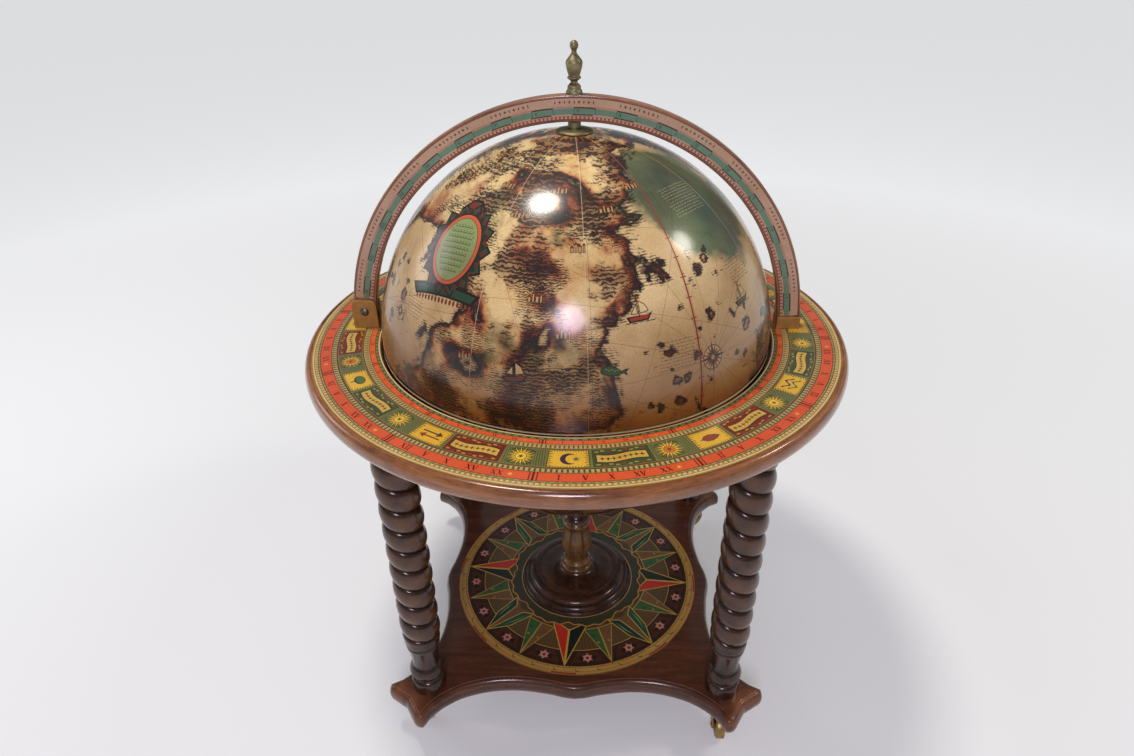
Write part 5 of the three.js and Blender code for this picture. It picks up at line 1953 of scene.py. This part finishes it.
@dataclass
class Shelf:
    """Moulded shelf with two ears at each corner, and the printed compass disc on it."""

    foot: float = 56.0
    thickness: float = 26.0
    reach: float = 262.0
    ear: float = 0.048
    compass: float = 191.6
    sheet: float = 0.8
    rose_turn: float = -5.0

    def outline(self) -> Profile:
        """Outline of the shelf.

        Returns:
            Its points, counter-clockwise.
        """
        shares = [
            (0, 0.818), (0.06, 0.811), (0.15, 0.79), (0.3, 0.772), (0.45, 0.781), (0.59, 0.82), (0.69, 0.88),
            (0.75, 0.94),
        ]
        knots = np.array([(out * self.reach, along * self.reach) for along, out in shares])
        side = catmull_rom(knots, 44)
        centre = (0.952 * self.reach, 0.798 * self.reach)
        ear = arc(*centre, self.ear * self.reach, -pi / 8, pi / 3.4, 12)
        start, dip = np.array(ear[-1]), np.array((0.893, 0.893)) * self.reach
        hollow = [tuple(start * (1 - t) ** 1.6 + dip * (1 - (1 - t) ** 1.6)) for t in np.linspace(0, 1, 7)[1:]]
        half = [*side, *ear, *hollow]
        quarter = [*half, *[(y, x) for x, y in half[1:-1]][::-1]]
        points = []
        for ahead, aside in ((1, 0), (0, 1), (-1, 0), (0, -1)):
            points.extend((x * ahead - y * aside, x * aside + y * ahead) for x, y in quarter)
        return points

    def board(self) -> Shape:
        """Shape of the board.

        Returns:
            The board, with a rounded edge and a small step inside it.
        """
        levels = [
            (5.3, 0), (3.4, 0.5), (1.8, 2), (0.7, 5), (0, 9.5), (0.1, 13), (0.9, 17), (2.4, 20.4), (4.2, 22.6),
            (6, 23.7), (7.2, 24), (7.7, 24.1), (7.9, 24.8), (8.2, 25.6), (9, 26),
        ]
        shape = slab(self.outline(), levels)
        # Hands and feet rub the corners, and the upper edge more than the lower one.
        reach = np.abs(shape.points[:, :2]).min(1)
        level = np.clip((self.thickness - shape.points[:, 2]) / 14, 0, 1)
        shape.wear = np.clip(0.35 + 0.65 * np.clip((reach - 185) / 30, 0, 1) * (1 - 0.4 * level), 0, 1)
        return shape

    def artwork(self) -> Artwork:
        """Draw the compass disc.

        Returns:
            A wind rose of spears, feathers and triangles in a band of scales.
        """
        art = Artwork("#B08A4A")
        for radius, ink in (
            (self.compass, "#4E3218"), (190.8, "#AE8644"), (186.8, "#6E5026"), (186.2, "#B08A48"),
            (180.4, "#6E5026"), (179.8, "#A88240"), (177.4, "#2A2016"), (175.8, "#36221A"),
        ):
            art.disc(radius, ink, 240)
        for place in range(0, 360, 10):
            art.ticks(181.2, 185.4, (place,), 0.34, "#3A2A16", 0.5)
            art.ticks(184.6, 185.6, (place + 1,), 1.5, "#3A2A16")
            art.ticks(178.2, 179.6, (place - 2.5, place + 2.5), 0.4, "#5A4020")
        for point in range(8):
            angle = self.rose_turn + 45 * point
            art.sector(188.0, 190.2, angle - 5.5, angle + 5.5, "#8E2A1C")
        # Dark panels with a roundel fill the field between the sixteen points.
        for point in range(16):
            angle = self.rose_turn + 11.25 + 22.5 * point
            panel = polar([(174.6, -9.4), (174.6, 9.4), (151.6, 5.4), (151.6, -5.4)], angle)
            art.rimmed(panel, "#1E1812", 1.1, "#46281A")
            roundel = [(oval(0, 0, 13.5, 6.4, 24), "#2E1A12"), (star(6, 8.6, 5.2), "#A87464")]
            eye = [(oval(0, 0, 5.0, 5.0, 20), "#B88A76"), (oval(0, 0, 2.7, 2.7, 12), "#8A2A1E")]
            art.stamp([*roundel, *eye], 163.4, angle)
        art.disc(150.4, "#A8873C", 240)
        art.disc(149.2, "#5A4426", 240)
        art.ticks(104, 149, np.arange(0, 360, 2.25), 0.5, "#4A3A22", 2)
        for point in range(8):
            angle = self.rose_turn + 22.5 + 45 * point
            for side, tint in ((-1, "#35592E"), (1, "#6A4E2C")):
                art.rimmed(polar([(177.2, 0), (110, side * 12.2), (110, 0)], angle), "#A8873C", 1.1, tint)
        for point in range(16):
            lean = 6.6 if point % 2 else -6.6
            angle = self.rose_turn + 22.5 + 45 * (point // 2)
            ink = "#7E3A24" if point % 2 else "#244A26"
            art.stamp([(oval(0, 0, 3.6, 2.2, 10), ink)], 126, angle + lean * 0.8)
            art.stamp([(oval(0, 0, 2.2, 1.8, 10), "#8A7A4A")], 139, angle + lean * 0.5)
        art.disc(113, "#A8873C", 240)
        art.disc(111.6, "#4A3A20", 240)
        for point in range(4):
            angle = self.rose_turn + 45 + 90 * point
            art.paint(polar([(178, 0), (104, 12.8), (112, 0), (104, -12.8)], angle), "#6A4E2C")
            for side, tint in ((-1, "#103832"), (1, "#1E4E38")):
                feather = polar([(178, 0), (146, side * 6.8), (104, side * 12.8), (114, side * 3.8)], angle)
                art.rimmed(feather, "#B8963F", 1.4, tint)
                art.paint(polar([(115, side * 8.0), (150, side * 3.8), (132, side * 6.6)], angle), "#6E8A4A")
            angle -= 45
            for side, tint in ((-1, "#B42C1E"), (1, "#17221C")):
                art.rimmed(polar([(178.4, 0), (97, side * 17.6), (113, 0)], angle), "#BC9A42", 1.5, tint)
        scallop = []
        for step in range(240):
            turn = step * tau / 240
            beat = turn - radians(self.rose_turn)
            reach = 100 + 8 * abs(sin(4 * beat)) ** 0.8 + 1.5 * sin(32 * beat)
            scallop.append((reach * cos(turn), reach * sin(turn)))
        for share, ink in ((1.0, "#8E3A20"), (0.991, "#B08C40"), (0.977, "#33331F")):
            art.paint([(x * share, y * share) for x, y in scallop], ink)
        art.ticks(90, 96, np.arange(0, 360, 3.75), 0.5, "#43452A", 2)
        art.disc(89.6, "#A89060", 240)
        art.disc(88.2, "#3A2A1C", 240)
        art.disc(5.6, None, 48)
        return art

    def build(self, shop: Workshop) -> None:
        """Make and dress the pieces.

        Args:
            shop: Where pieces are made.
        """
        shop.place("shelf_board", self.board().moved(z=self.foot), SHELF_WOOD, ["shelf"], "dark_wood")
        disc = self.artwork().sheet(self.sheet).moved(z=self.foot + self.thickness)
        shop.place("compass_print", disc, SHEET_PRINT, ["compass_disc"], "compass_print")


@dataclass
class Pedestal:
    """Turned pedestal: stepped base, baluster, and the seat that cups the bottom of the globe."""

    foot: float = 82.8
    base_radius: float = 86.7
    base_height: float = 27.0
    baluster_radius: float = 24.0
    baluster_height: float = 99.0
    seat_radius: float = 60.0
    bore: float = 5.4
    globe: float = GLOBE_RADIUS
    centre: float = GLOBE_CENTRE

    def build(self, shop: Workshop) -> None:
        """Make and dress the pieces.

        Args:
            shop: Where pieces are made.
        """
        base_shares = [
            (1, 0), (1, 0), (1, 0.13), (0.985, 0.18), (0.96, 0.2), (0.96, 0.2), (0.935, 0.35), (0.895, 0.41),
            (0.875, 0.42), (0.875, 0.42), (0.845, 0.57), (0.785, 0.65), (0.72, 0.685), (0.685, 0.66), (0.65, 0.69),
            (0.53, 0.74), (0.415, 0.815), (0.32, 0.93), (0.3, 1), (0.3, 1),
        ]
        baluster_shares = [
            (1, 0), (1.05, 0.02), (1, 0.045), (0.89, 0.06), (0.94, 0.1), (0.92, 0.14), (0.73, 0.17), (0.73, 0.29),
            (0.86, 0.36), (0.98, 0.43), (1, 0.48), (0.96, 0.56), (0.86, 0.68), (0.76, 0.8), (0.75, 0.85),
            (0.88, 0.88), (0.88, 0.93), (0.73, 0.96), (0.72, 1), (0.72, 1),
        ]
        seat_shares = [
            (0.3, 0), (0.3, 0), (0.37, 0.03), (0.36, 0.07), (0.26, 0.12), (0.25, 0.22), (0.3, 0.35), (0.43, 0.53),
            (0.66, 0.71), (0.9, 0.85), (1, 0.93), (1, 0.97),
        ]
        baluster_foot = self.foot + self.base_height
        seat_foot = baluster_foot + self.baluster_height
        base = bored(base_shares, self.base_radius, self.base_height, self.bore).moved(z=self.foot)
        shop.place("pedestal_stepped_base", base, DARK_WOOD, ["pedestal_base"], "dark_wood")
        baluster = bored(baluster_shares, self.baluster_radius, self.baluster_height, self.bore)
        baluster = baluster.moved(z=baluster_foot)
        shop.place("pedestal_turned_baluster", baluster, BALUSTER_WOOD, ["pedestal_baluster"], "pale_wood")
        centre = self.centre - seat_foot
        rise = centre - sqrt(self.globe**2 - self.seat_radius**2) - GLOBE_GAP
        outside = softened(scaled(seat_shares, self.seat_radius, rise))
        hollow = [
            (radius, centre - sqrt(self.globe**2 - radius**2) - GLOBE_GAP)
            for radius in np.linspace(self.seat_radius, self.bore, 9)
        ]
        seat = turned([(self.bore, 0), *outside, *hollow], 96).moved(z=seat_foot)
        shop.place("pedestal_bowl_seat", seat, DARK_WOOD, ["pedestal_seat"], "dark_wood")
        shop.dress(["tie_rod"], SCREW_STEEL)


@dataclass
class BarInsert:
    """Bottle rack and floor in the lower half of the globe, with the post between them and the knob on top."""

    top: float = 483.0
    thickness: float = 12.0
    bottle_hole: float = 46.0
    bottle_reach: float = 99.9
    glass_well: float = 30.0
    glass_reach: float = 188.0
    well_depth: float = 5.0
    floor_top: float = 353.0
    floor_thickness: float = 8.0
    bore: float = 5.4
    post_radius: float = 12.0
    knob_radius: float = 14.0
    knob_height: float = 24.0

    def round_places(self, count: int, reach: float, radius: float) -> list[Profile]:
        """Outlines of round holes in a ring."""
        turns = [(index + 0.5) * tau / count for index in range(count)]
        return [arc(reach * cos(turn), reach * sin(turn), radius, 0, tau, 64)[:-1] for turn in turns]

    def disc(self, radius: float, thickness: float, *cuts: Sequence[Profile]) -> Shape:
        """Shape of a round board with eased edges and a hole for the tie rod.

        Args:
            radius: Its radius.
            thickness: Its thickness.
            *cuts: Holes right through it, and blind holes in its top.

        Returns:
            The board, standing on the ground.
        """
        levels = eased([(0.9, 0), (0.26, 0.26), (0, 0.9)], 0, thickness)
        holes, wells = cuts or ((), ())
        bore = arc(0, 0, self.bore, 0, tau, 32)[:-1]
        return slab(arc(0, 0, radius, 0, tau, 192)[:-1], levels, [bore, *holes], wells, self.well_depth)

    def build(self, shop: Workshop) -> None:
        """Make and dress the pieces.

        Args:
            shop: Where pieces are made.
        """
        holes = self.round_places(4, self.bottle_reach, self.bottle_hole)
        wells = self.round_places(8, self.glass_reach, self.glass_well)
        rack_radius, floor_radius = (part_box(node)[1][0] / MM for node in ("bottle_rack", "rack_floor"))
        rack = self.disc(rack_radius, self.thickness, holes, wells).moved(z=self.top - self.thickness)
        shop.place("bottle_rack_board", rack, INSERT_WOOD, ["bottle_rack"], "insert_wood")
        floor = self.disc(floor_radius, self.floor_thickness).moved(z=self.floor_top - self.floor_thickness)
        shop.place("rack_floor_board", floor, INSERT_WOOD, ["rack_floor"], "insert_wood")
        length = self.top - self.thickness - self.floor_top
        post_shares = [
            (1, 0), (1, 0), (1, 0.1), (0.8, 0.14), (0.72, 0.2), (0.86, 0.42), (0.9, 0.55), (0.76, 0.8), (0.8, 0.86),
            (1, 0.9), (1, 1), (1, 1),
        ]
        post = bored(post_shares, self.post_radius, length, self.bore, 64).moved(z=self.floor_top)
        shop.place("rack_turned_post", post, DARK_WOOD, ["rack_post"], "dark_wood")
        knob_shares = [
            (0.36, 0), (0.75, 0), (0.75, 0), (0.75, 0.1), (0.6, 0.24), (0.86, 0.38), (1, 0.6), (0.86, 0.82),
            (0.45, 0.98), (0, 1),
        ]
        knob = turned(softened(scaled(knob_shares, self.knob_radius, self.knob_height)), 48)
        shop.place("rack_turned_knob", knob.moved(z=self.top), CASTER_BRASS, ["rack_knob"], "brass")


@dataclass
class Casters:
    """Four brass casters: stem with its plate, fork, wheel and axle."""

    offset: float = 205.0
    trail: float = 16.0
    wheel_radius: float = 19.0
    wheel_half: float = 7.0
    arm: float = 2.5
    gap: float = 1.0
    crown_radius: float = 11.0
    crown_top: float = 51.5
    crown_foot: float = 46.5
    boss: float = 6.0
    turns: tuple[int, ...] = (180, -90, 30, 135)

    def stem(self) -> Shape:
        """Shape of the stem, with its plate and lower flange.

        Returns:
            A turned shape on the caster's axis.
        """
        profile = [
            (0, 43), (6.6, 43), (7, 43.4), (7, 45.2), (6.6, 45.6), (5, 45.6), (5, 52), (18.2, 52), (19, 52.8),
            (19, 55.2), (18.4, 56), (4, 56), (4, 119.6), (3.6, 120), (0, 120),
        ]
        return turned(profile, 48)

    def fork(self) -> Shape:
        """Shape of the fork: a pierced crown and two arms that narrow to the axle.

        Returns:
            The fork, trailing along X.
        """
        boss = arc(self.trail, self.wheel_radius, self.boss, -2.65, 0.4, 20)
        outline = [
            (self.crown_radius, self.crown_foot), (self.crown_radius, self.crown_top), (-5.5, self.crown_top),
            (-5.5, self.crown_foot), *boss,
        ]
        levels = eased([(0.5, 0), (0.12, 0.14), (0, 0.5)], 0, self.arm)
        arm = slab(outline, levels, [arc(self.trail, self.wheel_radius, 2.6, 0, tau, 24)[:-1]])
        inside = self.wheel_half + self.gap
        crown = [
            (5.4, self.crown_foot), (self.crown_radius - 0.5, self.crown_foot), (self.crown_radius, 47),
            (self.crown_radius, 51), (self.crown_radius - 0.5, self.crown_top), (5.4, self.crown_top),
        ]
        left, right = arm.moved(y=-inside, turn=UPRIGHT), arm.moved(y=inside + self.arm, turn=UPRIGHT)
        return turned(crown, 48).joined(left, right)

    def wheel(self) -> Shape:
        """Shape of the wheel, with a hub, a dished face and an eased tread.

        Returns:
            The wheel about its own middle, along Y.
        """
        side = [
            (2.9, 7), (6.6, 7), (7, 6.6), (7.6, 6.1), (12, 5.9), (15.6, 5.9), (16.4, 6.1), (17.6, 5.7), (18.7, 4.9),
            (19, 4), (19, 0),
        ]
        profile = [*side, *[(radius, -height) for radius, height in side[-2::-1]]]
        return turned(profile, 64).moved(turn=UPRIGHT)

    def axle(self) -> Shape:
        """Shape of the axle with two domed heads.

        Returns:
            The axle about its own middle, along Y.
        """
        end = self.wheel_half + self.gap + self.arm
        half = [(0, end + 1.5), (2.2, end + 1.3), (3.6, end + 0.7), (4, end), (2.5, end)]
        return turned([*half, *[(radius, -height) for radius, height in half[::-1]]], 32).moved(turn=UPRIGHT)

    def build(self, shop: Workshop) -> None:
        """Make and dress the pieces.

        Args:
            shop: Where pieces are made.
        """
        stem, fork, wheel, axle = self.stem(), self.fork(), self.wheel(), self.axle()
        for (corner, (x, y)), turn in zip(CORNERS.items(), self.turns):
            spin = Matrix.Rotation(radians(turn), 3, "Z")
            place = {"x": x * self.offset, "y": y * self.offset}
            centre = spin @ Vector((self.trail, 0, 0)) + Vector((place["x"], place["y"], self.wheel_radius))
            for part, shape, body in (
                ("stem", stem.moved(**place), "base"),
                ("fork", fork.moved(**place, turn=spin), f"caster_fork_{corner}"),
                ("wheel", wheel.moved(*centre, turn=spin), f"caster_wheel_{corner}"),
                ("axle", axle.moved(*centre, turn=spin), f"caster_fork_{corner}"),
            ):
                name = f"caster_{part}_{corner}"
                shop.place(f"brass_{name}", shape, CASTER_BRASS, [name], "brass", body)


@dataclass
class Studio:
    """Camera at the photograph's place, a plain pale floor and soft lamps."""

    eye: tuple[float, float, float] = (15.66, -878.0, 998.63)
    pitch: float = 31.514
    yaw: float = -1.807
    roll: float = -0.716
    lens: float = 23.786

    def camera(self) -> None:
        """Make the camera."""
        pitch, yaw, roll = (radians(angle) for angle in (self.pitch, self.yaw, self.roll))
        ahead = Vector((sin(yaw) * cos(pitch), cos(yaw) * cos(pitch), -sin(pitch)))
        level = ahead.cross(Vector((0, 0, 1))).normalized()
        over = level.cross(ahead)
        right = level * cos(roll) + over * sin(roll)
        up = over * cos(roll) - level * sin(roll)
        data = bpy.data.cameras.new("photo_camera")
        data.sensor_width = 36
        data.lens = self.lens
        data.clip_start = 0.02
        camera = put("photo_camera", data)
        turn = Matrix((right, up, -ahead)).transposed().to_4x4()
        camera.matrix_world = Matrix.Translation(Vector(self.eye) * MM) @ turn
        bpy.context.scene.camera = camera

    def lamp(self, name: str, place: Sequence[float], size: float, power: float, colour: str) -> None:
        """Hang a round soft lamp that points at the globe.

        Args:
            name: Its name.
            place: Where it hangs, in metres.
            size: Its diameter in metres.
            power: Power in watts.
            colour: Its colour.
        """
        data = bpy.data.lights.new(name, "AREA")
        data.shape = "DISK"
        data.size = size
        data.energy = power
        data.color = linear(colour)[:3]
        lamp = put(name, data)
        lamp.location = place
        lamp.rotation_euler = (Vector((0, 0, 0.5)) - Vector(place)).to_track_quat("-Z", "Y").to_euler()

    def floor(self) -> None:
        """Lay the floor."""
        mesh = bpy.data.meshes.new("floor")
        reach = 30.0
        corners = [(-reach, -reach, 0), (reach, -reach, 0), (reach, reach, 0), (-reach, reach, 0)]
        mesh.from_pydata(corners, [], [(0, 1, 2, 3)])
        mesh.materials.append(FloorPaint("pale_paint").make())
        floor = put("floor", mesh)

    def world(self) -> None:
        """Light the room evenly."""
        world = bpy.data.worlds.new("studio")
        bpy.context.scene.world = world
        world.use_nodes = True
        world.node_tree.nodes.clear()
        add = partial(new_node, world.node_tree)
        add("ShaderNodeOutputWorld", add("ShaderNodeBackground", linear("#E8ECF2"), 0.3))

    def build(self) -> None:
        """Make camera, floor and lamps."""
        bpy.context.scene.view_settings.view_transform = "Standard"
        self.camera()
        self.floor()
        self.world()
        self.lamp("ceiling", (-0.49, 0.13, 2.58), 0.46, 26.0, "#FFFAF0")
        self.lamp("window", (1.6, 0.05, 1.88), 0.36, 7.0, "#FFF8EC")
        self.lamp("front", (-0.1, -2.1, 1.78), 0.6, 22.0, "#F6E8FF")
        self.lamp("left", (-1.94, 0.45, 1.3), 0.9, 5.0, "#F4F6FF")


def main() -> None:
    """Build the globe bar round its frame, piece by piece."""
    logging.basicConfig(level=logging.INFO, format="%(name)s %(message)s")
    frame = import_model()
    Studio().build()
    shop = Workshop(frame["nodes"])
    TableRing().build(shop)
    GlobeHalf(1, 4.5).build(shop, "globe_upper_half", "lid_dome", "upper_dome", GLOBE_CENTRE)
    GlobeHalf(-1, 5.6).build(shop, "globe_lower_half", "base", "lower_bowl", GLOBE_CENTRE)
    Lid().build(shop)
    Brackets().build(shop)
    RopeLegs().build(shop)
    Shelf().build(shop)
    Pedestal().build(shop)
    BarInsert().build(shop)
    Casters().build(shop)
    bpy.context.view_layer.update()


if __name__ == "__main__":
    main()
